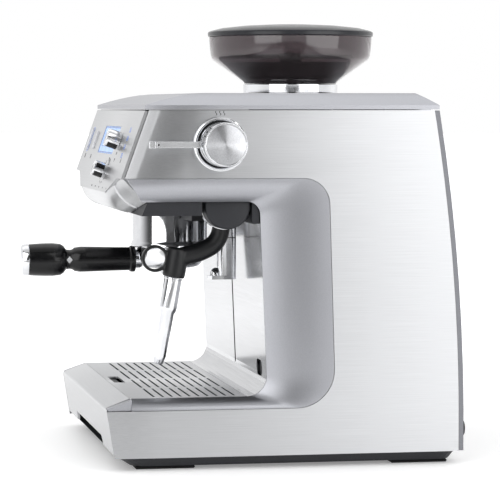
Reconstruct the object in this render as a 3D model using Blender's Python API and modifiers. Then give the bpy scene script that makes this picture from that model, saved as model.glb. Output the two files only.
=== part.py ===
"""Bean-to-cup espresso machine, built as separate pieces in metres with +Z up.

The machine's front faces -Y and the user's right is +X.  Every piece is modelled about the middle of
the cabinet's footprint and then hangs on one empty, which moves the whole machine so that the middle
of its overall box (portafilter handle and steam dial included) stands over the origin.
"""

import bpy
import bmesh
from math import atan2, cos, pi, radians, sin
from mathutils import Matrix, Vector

# ---- driving dimensions -------------------------------------------------------------------------
GAP = 0.0003                # air between pieces that touch
SHEET = 0.0015              # steel sheet
WALL = 0.0025               # moulded walls

HALF_WIDTH = 0.195          # cabinet, centre to outer side face
SEAM_Z = 0.355              # joint between the side panels and the lid
BASE_Z = 0.013              # lower edge of the side panels
HEAD_Z = 0.288              # lower edge of the side panel's head
TRAY_Z = 0.071              # top of the drip grille
LEDGE_Z = 0.0595            # upper edge of the side panel below the bay
HEAD_FRONT_Y = -0.151       # head, front of the seam
PANEL_FOOT_Y = -0.175       # control panel where the head's lower edge meets it
TRAY_FRONT_Y = -0.197       # ridge of the drip tray's front
SIDE_FRONT_Y = -0.1935      # front edge of the side panels beside the tray
REAR_Y = 0.1645             # cabinet rear, low down
REAR_LEAN = 0.026           # how far the rear leans forward at the seam
REAR_KNEE_Z = 0.040         # height where the lean starts
BAY_BACK_Y = 0.031          # outer edge of the bay surround
SPLASH_TOP_Y = -0.0415      # splashback at the head
SPLASH_FOOT_Y = -0.0335     # splashback at the grille
SURROUND_X = 0.1808         # inner face of the bay surrounds

GROUP_X, GROUP_Y = 0.0, -0.104
GROUP_R = 0.0395
HANDLE_Z = 0.1985
GRINDER_X, GRINDER_Y = -0.105, 0.047
OUTLET_X, OUTLET_Y = -0.108, -0.096

STEAM_Y, STEAM_Z = -0.0835, 0.3215      # steam dial axis, along X
ARM_X, ARM_Y, ARM_Z = 0.128, -0.0725, 0.260   # steam arm hinge, along X

MACHINE_SHIFT = (-0.0175, 0.044, 0.0)    # puts the middle of the overall box over the origin

TILT = atan2(HEAD_FRONT_Y - PANEL_FOOT_Y, SEAM_Z - HEAD_Z)   # control panel, back from upright

FINISHES = {
    "brushed_steel": ((0.60, 0.60, 0.61), 0.32, 1.0),
    "satin_silver": ((0.52, 0.52, 0.54), 0.38, 0.9),
    "chrome": ((0.78, 0.78, 0.80), 0.08, 1.0),
    "dark_metal": ((0.22, 0.22, 0.24), 0.35, 1.0),
    "black_plastic": ((0.012, 0.012, 0.013), 0.45, 0.0),
    "grey_plastic": ((0.26, 0.26, 0.28), 0.50, 0.0),
    "light_grey_plastic": ((0.62, 0.62, 0.63), 0.45, 0.0),
    "rubber": ((0.02, 0.02, 0.02), 0.85, 0.0),
    "smoked_plastic": ((0.07, 0.065, 0.07), 0.15, 0.0),
    "screen_glass": ((0.45, 0.62, 0.82), 0.10, 0.0),
    "brass": ((0.62, 0.47, 0.22), 0.30, 1.0),
    "cast_aluminium": ((0.45, 0.45, 0.46), 0.50, 1.0),
    "circuit_board": ((0.03, 0.16, 0.07), 0.55, 0.0),
}


# ---- scene set-up -------------------------------------------------------------------------------
def clear_scene():
    for obj in list(bpy.data.objects):
        bpy.data.objects.remove(obj, do_unlink=True)


clear_scene()
MACHINE = bpy.data.collections.new("espresso_machine")
CUTTERS = bpy.data.collections.new("cutters")
bpy.context.scene.collection.children.link(MACHINE)
bpy.context.scene.collection.children.link(CUTTERS)
ROOT = bpy.data.objects.new("machine_origin", None)
ROOT.location = MACHINE_SHIFT
MACHINE.objects.link(ROOT)


def finish_material(finish):
    material = bpy.data.materials.get(finish)
    if material:
        return material
    colour, roughness, metallic = FINISHES[finish]
    material = bpy.data.materials.new(finish)
    material.use_nodes = True
    shader = material.node_tree.nodes["Principled BSDF"]
    shader.inputs["Base Color"].default_value = (*colour, 1.0)
    shader.inputs["Roughness"].default_value = roughness
    shader.inputs["Metallic"].default_value = metallic
    material.diffuse_color = (*colour, 1.0)
    return material


# ---- modelling helpers --------------------------------------------------------------------------
def add_piece(name, mesh, finish, smooth_angle=radians(35)):
    """Put a mesh, already in the machine's frame, into the assembly as one named piece."""
    obj = bpy.data.objects.new(name, mesh)
    MACHINE.objects.link(obj)
    obj.parent = ROOT
    own = finish_material(finish).copy()
    own.name = name + "_" + finish
    mesh.materials.clear()
    mesh.materials.append(own)
    mesh.shade_smooth()
    mesh.set_sharp_from_angle(angle=smooth_angle)
    return obj


def mesh_from(bm, name):
    bmesh.ops.recalc_face_normals(bm, faces=bm.faces)
    mesh = bpy.data.meshes.new(name)
    bm.to_mesh(mesh)
    bm.free()
    return mesh


def box_mesh(name, x, y, z, bevel=0.0, segments=2):
    """A box between the pairs x, y and z, its edges rounded by bevel."""
    bm = bmesh.new()
    bmesh.ops.create_cube(bm, size=1.0)
    size = Vector((x[1] - x[0], y[1] - y[0], z[1] - z[0]))
    middle = Vector((x[0] + x[1], y[0] + y[1], z[0] + z[1])) / 2
    bmesh.ops.scale(bm, vec=size, verts=bm.verts)
    bmesh.ops.translate(bm, vec=middle, verts=bm.verts)
    if bevel:
        bmesh.ops.bevel(bm, geom=bm.edges[:], offset=bevel, segments=segments, affect="EDGES", profile=0.5)
    return mesh_from(bm, name)


def cylinder_mesh(name, centre, radius, depth, axis="Z", steps=32, bevel=0.0):
    """A cylinder about the named axis through its centre, its rims rounded by bevel."""
    bm = bmesh.new()
    bmesh.ops.create_cone(bm, cap_ends=True, segments=steps, radius1=radius, radius2=radius, depth=depth)
    if bevel:
        rims = [edge for edge in bm.edges if abs(edge.verts[0].co.z - edge.verts[1].co.z) < 1e-6]
        bmesh.ops.bevel(bm, geom=rims, offset=bevel, segments=2, affect="EDGES", profile=0.5)
    bmesh.ops.transform(bm, matrix=axis_matrix(axis, centre), verts=bm.verts)
    return mesh_from(bm, name)


def axis_matrix(axis, centre):
    """Turns local +Z to the named axis and moves the origin to the centre."""
    turns = {"Z": (0, "Z"), "X": (pi / 2, "Y"), "Y": (-pi / 2, "X")}
    angle, about = turns[axis]
    return Matrix.Translation(Vector(centre)) @ Matrix.Rotation(angle, 4, about)


def rounded(corners, steps=6):
    """An outline from corners (u, v) or (u, v, radius), with an arc at each corner that has a radius."""
    path = []
    count = len(corners)
    for index, corner in enumerate(corners):
        point = Vector(corner[:2])
        radius = corner[2] if len(corner) > 2 else 0.0
        if radius <= 0.0:
            path.append(tuple(point))
            continue
        back = (Vector(corners[index - 1][:2]) - point).normalized()
        ahead = (Vector(corners[(index + 1) % count][:2]) - point).normalized()
        half = back.angle(ahead) / 2
        reach = radius / (sin(half) / cos(half))
        centre = point + (back + ahead).normalized() * (radius / sin(half))
        start = point + back * reach - centre
        turn = start.angle_signed(point + ahead * reach - centre)
        for step in range(steps + 1):
            spin = Matrix.Rotation(-turn * step / steps, 2)
            path.append(tuple(centre + spin @ start))
    return path


def circle(centre, radius, steps):
    return [(centre[0] + radius * cos(2 * pi * i / steps), centre[1] + radius * sin(2 * pi * i / steps))
            for i in range(steps)]


PLANES = {"YZ": (pi / 2, 0.0, pi / 2), "XZ": (pi / 2, 0.0, 0.0), "XY": (0.0, 0.0, 0.0)}
NORMALS = {"YZ": Vector((1, 0, 0)), "XZ": Vector((0, -1, 0)), "XY": Vector((0, 0, 1))}


def outline_mesh(name, outlines, plane, low, high):
    """A flat outline (or an outline and its holes) made solid between two places across its plane."""
    curve = bpy.data.curves.new(name + "_outline", "CURVE")
    curve.dimensions = "2D"
    curve.fill_mode = "BOTH"
    curve.extrude = (high - low) / 2
    for outline in outlines:
        spline = curve.splines.new("POLY")
        spline.points.add(len(outline) - 1)
        for point, (u, v) in zip(spline.points, outline):
            point.co = (u, v, 0.0, 1.0)
        spline.use_cyclic_u = True
    obj = bpy.data.objects.new(name + "_outline", curve)
    obj.rotation_euler = PLANES[plane]
    obj.location = NORMALS[plane] * (low + high) / 2
    CUTTERS.objects.link(obj)
    return mesh_of_curve(obj, name)


def tube_mesh(name, points, radius, sides=4):
    """A round bar along the points, with closed ends."""
    curve = bpy.data.curves.new(name + "_path", "CURVE")
    curve.dimensions = "3D"
    curve.bevel_depth = radius
    curve.bevel_resolution = sides
    curve.use_fill_caps = True
    spline = curve.splines.new("POLY")
    spline.points.add(len(points) - 1)
    for point, place in zip(spline.points, points):
        point.co = (*place, 1.0)
    obj = bpy.data.objects.new(name + "_path", curve)
    CUTTERS.objects.link(obj)
    return mesh_of_curve(obj, name)


def mesh_of_curve(obj, name):
    """The evaluated curve as a welded closed mesh in the machine's frame; the curve is removed."""
    bpy.context.view_layer.update()
    evaluated = obj.evaluated_get(bpy.context.evaluated_depsgraph_get())
    mesh = bpy.data.meshes.new_from_object(evaluated)
    mesh.transform(obj.matrix_world)
    bpy.data.objects.remove(obj, do_unlink=True)
    bm = bmesh.new()
    bm.from_mesh(mesh)
    bmesh.ops.remove_doubles(bm, verts=bm.verts, dist=0.00002)
    bmesh.ops.recalc_face_normals(bm, faces=bm.faces)
    bm.to_mesh(mesh)
    bm.free()
    mesh.name = name
    return mesh


def turned_piece(name, profile, finish, centre, axis="Z", steps=40):
    """A turned piece: (radius, height) points down the outer side, spun about the axis by Screw."""
    mesh = bpy.data.meshes.new(name)
    vertices = [(radius, 0.0, height) for radius, height in profile]
    edges = [(i, i + 1) for i in range(len(profile) - 1)]
    starts_on_axis = profile[0][0] == 0.0
    if not starts_on_axis:
        edges.append((len(profile) - 1, 0))
    mesh.from_pydata(vertices, edges, [])
    obj = bpy.data.objects.new(name, mesh)
    MACHINE.objects.link(obj)
    obj.parent = ROOT
    obj.matrix_local = axis_matrix(axis, centre)
    own = finish_material(finish).copy()
    own.name = name + "_" + finish
    mesh.materials.append(own)
    screw = obj.modifiers.new("turned", "SCREW")
    screw.axis = "Z"
    screw.angle = 2 * pi
    screw.steps = steps
    screw.render_steps = steps
    screw.use_merge_vertices = True
    screw.merge_threshold = 0.00002
    screw.use_smooth_shade = True
    return obj


def cutter_from(mesh):
    obj = bpy.data.objects.new(mesh.name + "_cutter", mesh)
    CUTTERS.objects.link(obj)
    obj.parent = ROOT
    obj.hide_render = True
    obj.display_type = "WIRE"
    return obj


def cut(piece, mesh, operation="DIFFERENCE"):
    """Take a mesh away from a piece (or join it on) with an exact Boolean."""
    modifier = piece.modifiers.new(mesh.name, "BOOLEAN")
    modifier.operation = operation
    modifier.solver = "EXACT"
    modifier.object = cutter_from(mesh)


def joined_boxes(name, boxes):
    """Several separate boxes in one mesh, as one cutter for a row of slots."""
    bm = bmesh.new()
    for x, y, z in boxes:
        size = Vector((x[1] - x[0], y[1] - y[0], z[1] - z[0]))
        middle = Vector((x[0] + x[1], y[0] + y[1], z[0] + z[1])) / 2
        matrix = Matrix.Translation(middle) @ Matrix.Diagonal((*size, 1.0))
        bmesh.ops.create_cube(bm, size=1.0, matrix=matrix)
    return mesh_from(bm, name)


def hull_mesh(name, points):
    """The smallest convex solid round the points, for a faceted casting."""
    bm = bmesh.new()
    for point in points:
        bm.verts.new(point)
    result = bmesh.ops.convex_hull(bm, input=bm.verts)
    loose = [item for item in result["geom_interior"] if isinstance(item, bmesh.types.BMVert)]
    bmesh.ops.delete(bm, geom=loose, context="VERTS")
    return mesh_from(bm, name)


def mirrored(points):
    return [(side * x, y, z) for x, y, z in points for side in (-1, 1)]


def rear_y(z, inset=0.0):
    """The cabinet's rear line: upright low down, then leaning forward along a parabola."""
    rise = max(z - REAR_KNEE_Z, 0.0) / (SEAM_Z - REAR_KNEE_Z)
    return REAR_Y - inset - REAR_LEAN * rise * rise


def rear_line(z_low, z_high, inset=0.0, steps=8):
    return [(rear_y(z_low + (z_high - z_low) * i / steps, inset), z_low + (z_high - z_low) * i / steps)
            for i in range(steps + 1)]


def splash_y(z):
    """The splashback's front face, which leans forward towards the head."""
    share = (z - TRAY_Z) / (HEAD_Z - 0.0235 - TRAY_Z)
    return SPLASH_FOOT_Y + (SPLASH_TOP_Y - SPLASH_FOOT_Y) * share


def panel_point(x, down, out=0.0):
    """A point on the control panel: across, down its face from the seam, and out along its normal."""
    y = HEAD_FRONT_Y - down * sin(TILT) - out * cos(TILT)
    z = SEAM_Z - down * cos(TILT) + out * sin(TILT)
    return Vector((x, y, z))


def panel_matrix(x, down, out=0.0):
    """Local +Z along the panel's normal, local +Y up its face."""
    return Matrix.Translation(panel_point(x, down, out)) @ Matrix.Rotation(pi / 2 - TILT, 4, "X")


# ---- cabinet ------------------------------------------------------------------------------------
LID_CLEAR = 0.0037          # side panels stop this far behind the control panel's face
REAR_SEAM = 0.005           # side panels stop this far before the cabinet's rear line
BAY_TOP_R = 0.027           # outer corner of the bay, under the head
BAY_LOW_R = 0.038           # outer corner of the bay, at the tray
INNER_TOP_R = 0.013
INNER_LOW_R = 0.0195
BAND_LOW_Z = HEAD_Z - 0.0235            # lower edge of the surround's head member
TRAY_SLOPE_Y = -0.1722                  # where the grille starts
STEM_HOLE_R = 0.006                     # the steam valve's stem passes the right side panel
BAY_LEAN = 0.0035                       # the bay's rear edge leans this far either side of BAY_BACK_Y


def make_side_panels():
    outline = [(SIDE_FRONT_Y + 0.005, BASE_Z)]
    outline += rear_line(BASE_Z, SEAM_Z, REAR_SEAM)
    outline += [(HEAD_FRONT_Y + LID_CLEAR, SEAM_Z), (PANEL_FOOT_Y + LID_CLEAR, HEAD_Z),
                (BAY_BACK_Y - BAY_LEAN, HEAD_Z, BAY_TOP_R), (BAY_BACK_Y + BAY_LEAN, LEDGE_Z, BAY_LOW_R),
                (SIDE_FRONT_Y, LEDGE_Z)]
    outline = rounded(outline, steps=8)
    stem_hole = circle((STEAM_Y, STEAM_Z), STEM_HOLE_R, 16)
    for name, outlines, outer in (("side_panel_right", [outline, stem_hole], HALF_WIDTH),
                                  ("side_panel_left", [outline], SHEET - HALF_WIDTH)):
        add_piece(name, outline_mesh(name, outlines, "YZ", outer - SHEET, outer), "brushed_steel")


def make_bay_surrounds():
    corners = [(PANEL_FOOT_Y + 0.0055, HEAD_Z - GAP),
               (BAY_BACK_Y - BAY_LEAN - GAP, HEAD_Z - GAP, BAY_TOP_R - GAP),
               (BAY_BACK_Y + BAY_LEAN - GAP, LEDGE_Z + GAP, BAY_LOW_R - GAP),
               (TRAY_SLOPE_Y + 0.0015, LEDGE_Z + GAP), (TRAY_SLOPE_Y + 0.0015, TRAY_Z),
               (SPLASH_FOOT_Y, TRAY_Z, INNER_LOW_R), (SPLASH_TOP_Y, BAND_LOW_Z, INNER_TOP_R),
               (PANEL_FOOT_Y + 0.0215, BAND_LOW_Z)]
    outline = rounded(corners, steps=8)
    for side, low, high in (("right", SURROUND_X, HALF_WIDTH - SHEET - GAP),
                            ("left", SHEET + GAP - HALF_WIDTH, -SURROUND_X)):
        name = "bay_surround_" + side
        add_piece(name, outline_mesh(name, [outline], "YZ", low, high), "satin_silver")


WINDOW_X, WINDOW_Z = (0.002, 0.008), (0.088, 0.182)         # water level slot
ACCESS_X, ACCESS_Z = (0.128, 0.158), (0.088, 0.104)         # descaling valve recess
SPLASH_LIP_Y = -0.0545                  # front edge of the splashback's foot
BEHIND_SPLASH_Y = -0.0315               # parts fitted behind the splashback start here


def splashback_part(name, x, z, margin, depth, finish):
    """A block behind the splashback that closes one of its slots."""
    mesh = box_mesh(name, (x[0] - margin, x[1] + margin), (BEHIND_SPLASH_Y, BEHIND_SPLASH_Y + depth),
                    (z[0] - margin, z[1] + margin), 0.001)
    add_piece(name, mesh, finish)


def make_splashback():
    top = BAND_LOW_Z - 0.0005
    front = rounded([(splash_y(top), top), (SPLASH_FOOT_Y, TRAY_Z, INNER_LOW_R), (SPLASH_LIP_Y, TRAY_Z)], 8)
    rear = rounded([(SPLASH_LIP_Y, TRAY_Z - SHEET),
                    (SPLASH_FOOT_Y + SHEET, TRAY_Z - SHEET, INNER_LOW_R + SHEET),
                    (splash_y(top) + SHEET, top)], 8)
    width = SURROUND_X - GAP
    piece = add_piece("splashback", outline_mesh("splashback", [front + rear], "YZ", -width, width),
                      "brushed_steel")
    for name, x, z in (("window_slot", WINDOW_X, WINDOW_Z), ("access_slot", ACCESS_X, ACCESS_Z)):
        radius = min(x[1] - x[0], z[1] - z[0]) / 2 - 0.0001
        corners = ((x[0], z[0]), (x[1], z[0]), (x[1], z[1]), (x[0], z[1]))
        ring = rounded([(*corner, radius) for corner in corners])
        cut(piece, outline_mesh(name, [ring], "XZ", 0.02, 0.07))
    splashback_part("level_window", WINDOW_X, WINDOW_Z, 0.003, 0.0055, "black_plastic")
    splashback_part("descale_cover", ACCESS_X, ACCESS_Z, 0.003, 0.0075, "grey_plastic")


PLINTH_TOP = ((-0.190, 0.190), (-0.184, 0.160))             # x, then y, under the side panels
PLINTH_FOOT = ((-0.182, 0.182), (-0.170, 0.155))
PLINTH_Z = (0.0035, BASE_Z - GAP)
FOOT_X = (0.120, 0.178)
FOOT_Y = {"front": (-0.166, -0.106), "rear": (0.094, 0.152)}


def make_plinth():
    bm = bmesh.new()
    bmesh.ops.create_cube(bm, size=1.0)
    for vertex in bm.verts:
        x, y = PLINTH_TOP if vertex.co.z > 0 else PLINTH_FOOT
        vertex.co = (x[vertex.co.x > 0], y[vertex.co.y > 0], PLINTH_Z[vertex.co.z > 0])
    upright = [edge for edge in bm.edges if abs(edge.verts[0].co.z - edge.verts[1].co.z) > 0.001]
    bmesh.ops.bevel(bm, geom=upright, offset=0.012, segments=4, affect="EDGES", profile=0.5)
    add_piece("base_plate", mesh_from(bm, "base_plate"), "black_plastic")
    for end, y in FOOT_Y.items():
        for side, x in (("right", FOOT_X), ("left", (-FOOT_X[1], -FOOT_X[0]))):
            name = f"foot_{end}_{side}"
            add_piece(name, box_mesh(name, x, y, (0.0, 0.0032), 0.0012, 1), "rubber")


TANK_X = 0.1235             # water tank, centre to side
TANK_Y = 0.0995             # its front wall
TANK_BULGE = 0.0095         # how far it stands out behind the cabinet
TANK_CLEAR = 0.0005
TANK_FLOOR_Z = 0.0535
INLET_X, INLET_Z = 0.160, 0.032
INLET_R, INLET_REACH = 0.008, 0.009


def make_rear():
    low_z, high_z = BASE_Z + 0.0005, SEAM_Z - GAP
    outline = rear_line(low_z, high_z) + rear_line(low_z, high_z, REAR_SEAM - GAP)[::-1]
    cover = add_piece("rear_cover", outline_mesh("rear_cover", [outline], "YZ", -HALF_WIDTH, HALF_WIDTH),
                      "grey_plastic")
    cut(cover, box_mesh("tank_opening", (-TANK_X - TANK_CLEAR, TANK_X + TANK_CLEAR), (0.08, 0.20),
                        (TANK_FLOOR_Z - 0.0015, 0.40)))
    floor_z, top_z = TANK_FLOOR_Z, SEAM_Z - 0.001
    tank = [(TANK_Y, floor_z, 0.006)] + rear_line(floor_z, top_z, -TANK_BULGE) + [(TANK_Y, top_z)]
    inside = [(TANK_Y + WALL, floor_z + WALL)] + rear_line(floor_z + WALL, SEAM_Z + 0.01, WALL - TANK_BULGE)
    inside += [(TANK_Y + WALL, SEAM_Z + 0.01)]
    shell = add_piece("water_tank", outline_mesh("water_tank", [rounded(tank)], "YZ", -TANK_X, TANK_X),
                      "smoked_plastic")
    cut(shell, outline_mesh("tank_inside", [inside], "YZ", WALL - TANK_X, TANK_X - WALL))
    inlet_at = (INLET_X, REAR_Y + GAP + INLET_REACH / 2, INLET_Z)
    add_piece("power_inlet", cylinder_mesh("power_inlet", inlet_at, INLET_R, INLET_REACH, "Y", 24, 0.001),
              "black_plastic")


LID_RINGS = [   # height above the seam, then how far the ring stands in at the side, front and rear
    (0.0003, 0.0, 0.0, 0.0),
    (0.0050, 0.0, 0.0, 0.0),
    (0.0105, 0.0085, 0.018, 0.009),
    (0.0145, 0.0150, 0.038, 0.015),
    (0.0170, 0.0210, 0.059, 0.020),
]
LID_TOP_Z = SEAM_Z + LID_RINGS[-1][0]
CUP_X, CUP_Y = (-0.030, 0.160), (-0.080, 0.088)             # cup tray on the lid
CUP_SLOTS = {"count": 7, "pitch": 0.018, "width": 0.003, "margin_x": 0.025, "margin_y": 0.030}


def make_lid():
    bm = bmesh.new()
    rings = []
    for rise, side_in, front_in, rear_in in LID_RINGS:
        x = HALF_WIDTH - side_in
        front, rear = HEAD_FRONT_Y + front_in, rear_y(SEAM_Z) - rear_in
        ring = [bm.verts.new((side * x, y, SEAM_Z + rise))
                for side, y in ((-1, front), (1, front), (1, rear), (-1, rear))]
        rings.append(ring)
    for low, high in zip(rings, rings[1:]):
        for i in range(4):
            bm.faces.new((low[i], low[(i + 1) % 4], high[(i + 1) % 4], high[i]))
    bm.faces.new(rings[-1])
    mesh = bpy.data.meshes.new("top_cover")
    bm.to_mesh(mesh)
    bm.free()
    cover = add_piece("top_cover", mesh, "satin_silver")
    skin = cover.modifiers.new("skin", "SOLIDIFY")
    skin.thickness = WALL
    skin.offset = -1.0
    skin.use_even_offset = True
    cut(cover, cylinder_mesh("hopper_hole", (GRINDER_X, GRINDER_Y, LID_TOP_Z), 0.0462, 0.03, steps=48))
    cut(cover, box_mesh("tank_notch", (-TANK_X - TANK_CLEAR, TANK_X + TANK_CLEAR),
                        (TANK_Y - TANK_CLEAR, 0.2), (0.34, 0.39)))
    cut(cover, box_mesh("cup_opening", CUP_X, CUP_Y, (0.36, 0.39)))
    plate_mesh = box_mesh("cup_tray", (CUP_X[0] + GAP, CUP_X[1] - GAP), (CUP_Y[0] + GAP, CUP_Y[1] - GAP),
                          (LID_TOP_Z - 0.0020, LID_TOP_Z - GAP))
    plate = add_piece("cup_tray", plate_mesh, "brushed_steel")
    slots = CUP_SLOTS
    rows = []
    for row in range(slots["count"]):
        y = CUP_Y[0] + slots["margin_y"] + slots["pitch"] * row
        rows.append(((CUP_X[0] + slots["margin_x"], CUP_X[1] - slots["margin_x"]), (y, y + slots["width"]),
                     (0.36, 0.38)))
    cut(plate, joined_boxes("cup_tray_slots", rows))
    top = LID_TOP_Z
    bulge_y = rear_y(SEAM_Z) + TANK_BULGE
    outline = [(TANK_Y, SEAM_Z - GAP), (bulge_y, SEAM_Z - GAP), (bulge_y, SEAM_Z + 0.005),
               (bulge_y - 0.020, top), (TANK_Y, top)]
    lid = add_piece("tank_lid", outline_mesh("tank_lid", [outline], "YZ", -TANK_X, TANK_X), "satin_silver")
    cut(lid, box_mesh("lid_pocket", (WALL - TANK_X, TANK_X - WALL), (TANK_Y + WALL, bulge_y - 0.022),
                      (SEAM_Z - 0.01, top - WALL)))


# ---- head and controls --------------------------------------------------------------------------
PANEL_DOWN = (SEAM_Z - HEAD_Z) / cos(TILT)          # panel face, seam to the head's lower edge
PANEL_TONGUE = 0.088                                # seam to the fold over the chin
PANEL_SKIN = 0.003
SHAFT_HOLE_R = 0.0045
SCREEN = {"x": 0.0, "width": 0.118, "down": 0.035, "height": 0.030}
SELECT_DIAL = {"x": 0.085, "down": 0.036, "radius": 0.0092, "reach": 0.0145}
MENU_DIAL = {"x": 0.047, "down": 0.069, "radius": 0.0078, "reach": 0.0125}
POWER_BUTTON = {"x": -0.153, "down": 0.0365, "width": 0.009, "height": 0.025}
LIGHT_BUTTON = {"x": -0.104, "down": 0.0370, "width": 0.008, "height": 0.020}


def panel_box(name, part, low, high, clearance=0.0, bevel=0.0):
    """A block on the control panel, between two heights along its normal."""
    half_w = part["width"] / 2 + clearance
    half_h = part["height"] / 2 + clearance
    mesh = box_mesh(name, (-half_w, half_w), (-half_h, half_h), (low, high), bevel)
    mesh.transform(panel_matrix(part["x"], part["down"]))
    return mesh


def panel_rectangle(part):
    """The opening for a part, with a gap all round, in the panel's own plane."""
    half_w = part["width"] / 2 + GAP
    half_h = part["height"] / 2 + GAP
    return [(part["x"] + u * half_w, -part["down"] + v * half_h)
            for u, v in ((-1, -1), (1, -1), (1, 1), (-1, 1))]


def make_control_panel():
    outline = [(-HALF_WIDTH, 0.0), (-HALF_WIDTH, -PANEL_DOWN), (-0.163, -PANEL_DOWN), (-0.108, -PANEL_TONGUE)]
    outline += [(-x, y) for x, y in outline[::-1]]
    openings = [panel_rectangle(part) for part in (SCREEN, POWER_BUTTON, LIGHT_BUTTON)]
    openings += [circle((part["x"], -part["down"]), SHAFT_HOLE_R, 16) for part in (SELECT_DIAL, MENU_DIAL)]
    mesh = outline_mesh("control_panel", [outline] + openings, "XY", -PANEL_SKIN, 0.0)
    mesh.transform(panel_matrix(0.0, 0.0))
    add_piece("control_panel", mesh, "brushed_steel")
    add_piece("display", panel_box("display", SCREEN, -0.0045, -0.0004, -GAP), "screen_glass")


def make_dial(name, part):
    """A knurled knob on a shaft; the shaft passes through the panel."""
    reach, radius = part["reach"], part["radius"]
    profile = [(0.0, reach), (radius - 0.0015, reach), (radius, reach - 0.0012), (radius, 0.0008),
               (0.0038, 0.0008), (0.0038, -PANEL_SKIN), (0.0, -PANEL_SKIN)]
    dial = turned_piece(name, profile, "chrome", (0, 0, 0), steps=20)
    dial.matrix_local = panel_matrix(part["x"], part["down"])


def make_button(name, part, finish):
    half_w, half_h = part["width"] / 2, part["height"] / 2
    mesh = box_mesh(name, (-half_w, half_w), (-half_h, half_h), (-0.0042, 0.0018), 0.0008)
    button = add_piece(name, mesh, finish)
    button.matrix_local = panel_matrix(part["x"], part["down"])


def make_chin():
    behind = -PANEL_SKIN - 0.0006
    points = [panel_point(side * x, down, behind) for side in (-1, 1)
              for x, down in ((0.1920, 0.0708), (0.107, PANEL_TONGUE))]
    points += mirrored([(0.1795, -0.1590, 0.2640), (0.1700, -0.1660, 0.2520), (0.1060, -0.1610, 0.2505),
                        (0.1795, -0.1716, 0.2850)])
    points += [(0.0, -0.1680, 0.2500)]
    add_piece("chin", hull_mesh("chin", points), "satin_silver")


SKIRT_LOW_Z = 0.2508
SKIRT_REAR_Z = 0.2425
SKIRT_STEP_Y = -0.0985      # where its underside steps down
OUTLET_HOLE_R = 0.0365


def make_underside_skirt():
    rear = splash_y(SKIRT_REAR_Z) - 0.0008
    top = BAND_LOW_Z - 0.0002
    outline = rounded([(-0.1535, top), (-0.1590, SKIRT_LOW_Z), (SKIRT_STEP_Y, SKIRT_LOW_Z),
                       (SKIRT_STEP_Y, SKIRT_REAR_Z), (rear, SKIRT_REAR_Z), (rear - 0.0003, top, 0.012)])
    width = SURROUND_X - 0.0015
    skirt = add_piece("underside_skirt", outline_mesh("underside_skirt", [outline], "YZ", -width, width),
                      "black_plastic")
    cut(skirt, cylinder_mesh("group_hole", (GROUP_X, GROUP_Y, 0.25), GROUP_R + 0.0008, 0.06, steps=48))
    cut(skirt, cylinder_mesh("outlet_hole", (OUTLET_X, OUTLET_Y, 0.25), OUTLET_HOLE_R, 0.06, steps=40))
    cut(skirt, box_mesh("arm_pocket", (0.112, 0.2), (-0.0990, -0.0485), (0.23, 0.28)))


# ---- brewing group ------------------------------------------------------------------------------
def make_group():
    at = (GROUP_X, GROUP_Y, 0.0)
    turned_piece("group_head",
                 [(0.0, 0.300), (0.030, 0.300), (GROUP_R, 0.292), (GROUP_R, 0.2140), (0.0408, 0.2128),
                  (0.0408, 0.2112), (0.0312, 0.2112), (0.0312, 0.230), (0.0, 0.230)],
                 "chrome", at, steps=32)
    turned_piece("group_gasket",
                 [(0.0308, 0.2297), (0.0308, 0.2215), (0.0284, 0.2215), (0.0284, 0.2297)],
                 "rubber", at, steps=24)
    turned_piece("shower_screen",
                 [(0.0, 0.2297), (0.0280, 0.2297), (0.0280, 0.2262), (0.0, 0.2262)],
                 "brushed_steel", at, steps=24)


def make_portafilter():
    at = (GROUP_X, GROUP_Y, 0.0)
    body = turned_piece("portafilter_body",
                        [(0.0306, 0.2194), (0.0306, 0.2107), (0.0350, 0.2107), (0.0350, 0.1960),
                         (0.0300, 0.1905), (0.0150, 0.1885), (0.0150, 0.1860), (0.0040, 0.1860),
                         (0.0040, 0.1900), (0.0270, 0.1930), (0.0285, 0.1960), (0.0285, 0.2194)],
                        "chrome", at, steps=32)
    neck = cylinder_mesh("portafilter_neck", (GROUP_X, GROUP_Y - 0.0335, HANDLE_Z), 0.0095, 0.0066, "Y", 24)
    cut(body, neck, "UNION")
    turned_piece("filter_basket",
                 [(0.0302, 0.2210), (0.0302, 0.2198), (0.0281, 0.2194), (0.0276, 0.1975),
                  (0.0040, 0.1965), (0.0040, 0.1972), (0.0268, 0.1985), (0.0274, 0.2210)],
                 "brushed_steel", at, steps=24)
    legs = [(0.019, 0.178), (0.009, 0.178), (0.006, 0.1815)]
    outline = [(0.012, 0.1857)] + legs + [(-x, z) for x, z in legs[::-1]] + [(-0.012, 0.1857)]
    add_piece("portafilter_spout", outline_mesh("portafilter_spout", [outline], "XZ",
              -GROUP_Y - 0.0075, -GROUP_Y + 0.0075), "chrome")
    along = (GROUP_X, GROUP_Y, HANDLE_Z)
    turned_piece("portafilter_handle",
                 [(0.0, -0.0372), (0.0122, -0.0372), (0.0122, -0.0450), (0.0134, -0.0985),
                  (0.0118, -0.1015), (0.0100, -0.1030), (0.0100, -0.1090), (0.0150, -0.1115),
                  (0.0168, -0.1160), (0.0173, -0.1280), (0.0168, -0.1450), (0.0163, -0.1492),
                  (0.0, -0.1492)],
                 "black_plastic", along, "Y", 20)
    turned_piece("handle_cap",
                 [(0.0, -0.1495), (0.0163, -0.1495), (0.0163, -0.1545), (0.0148, -0.1572),
                  (0.0105, -0.1580), (0.0, -0.1580)], "chrome", along, "Y", 20)


def make_hot_water_spout():
    outline = rounded([(-0.0545, SKIRT_REAR_Z - GAP), (-0.0440, SKIRT_REAR_Z - GAP), (-0.0440, 0.1800),
                       (-0.0740, 0.1800, 0.004), (-0.0740, 0.1930, 0.010), (-0.0545, 0.2010, 0.006)], 4)
    add_piece("hot_water_spout", outline_mesh("hot_water_spout", [outline], "YZ", 0.055, 0.069), "chrome")


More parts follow.
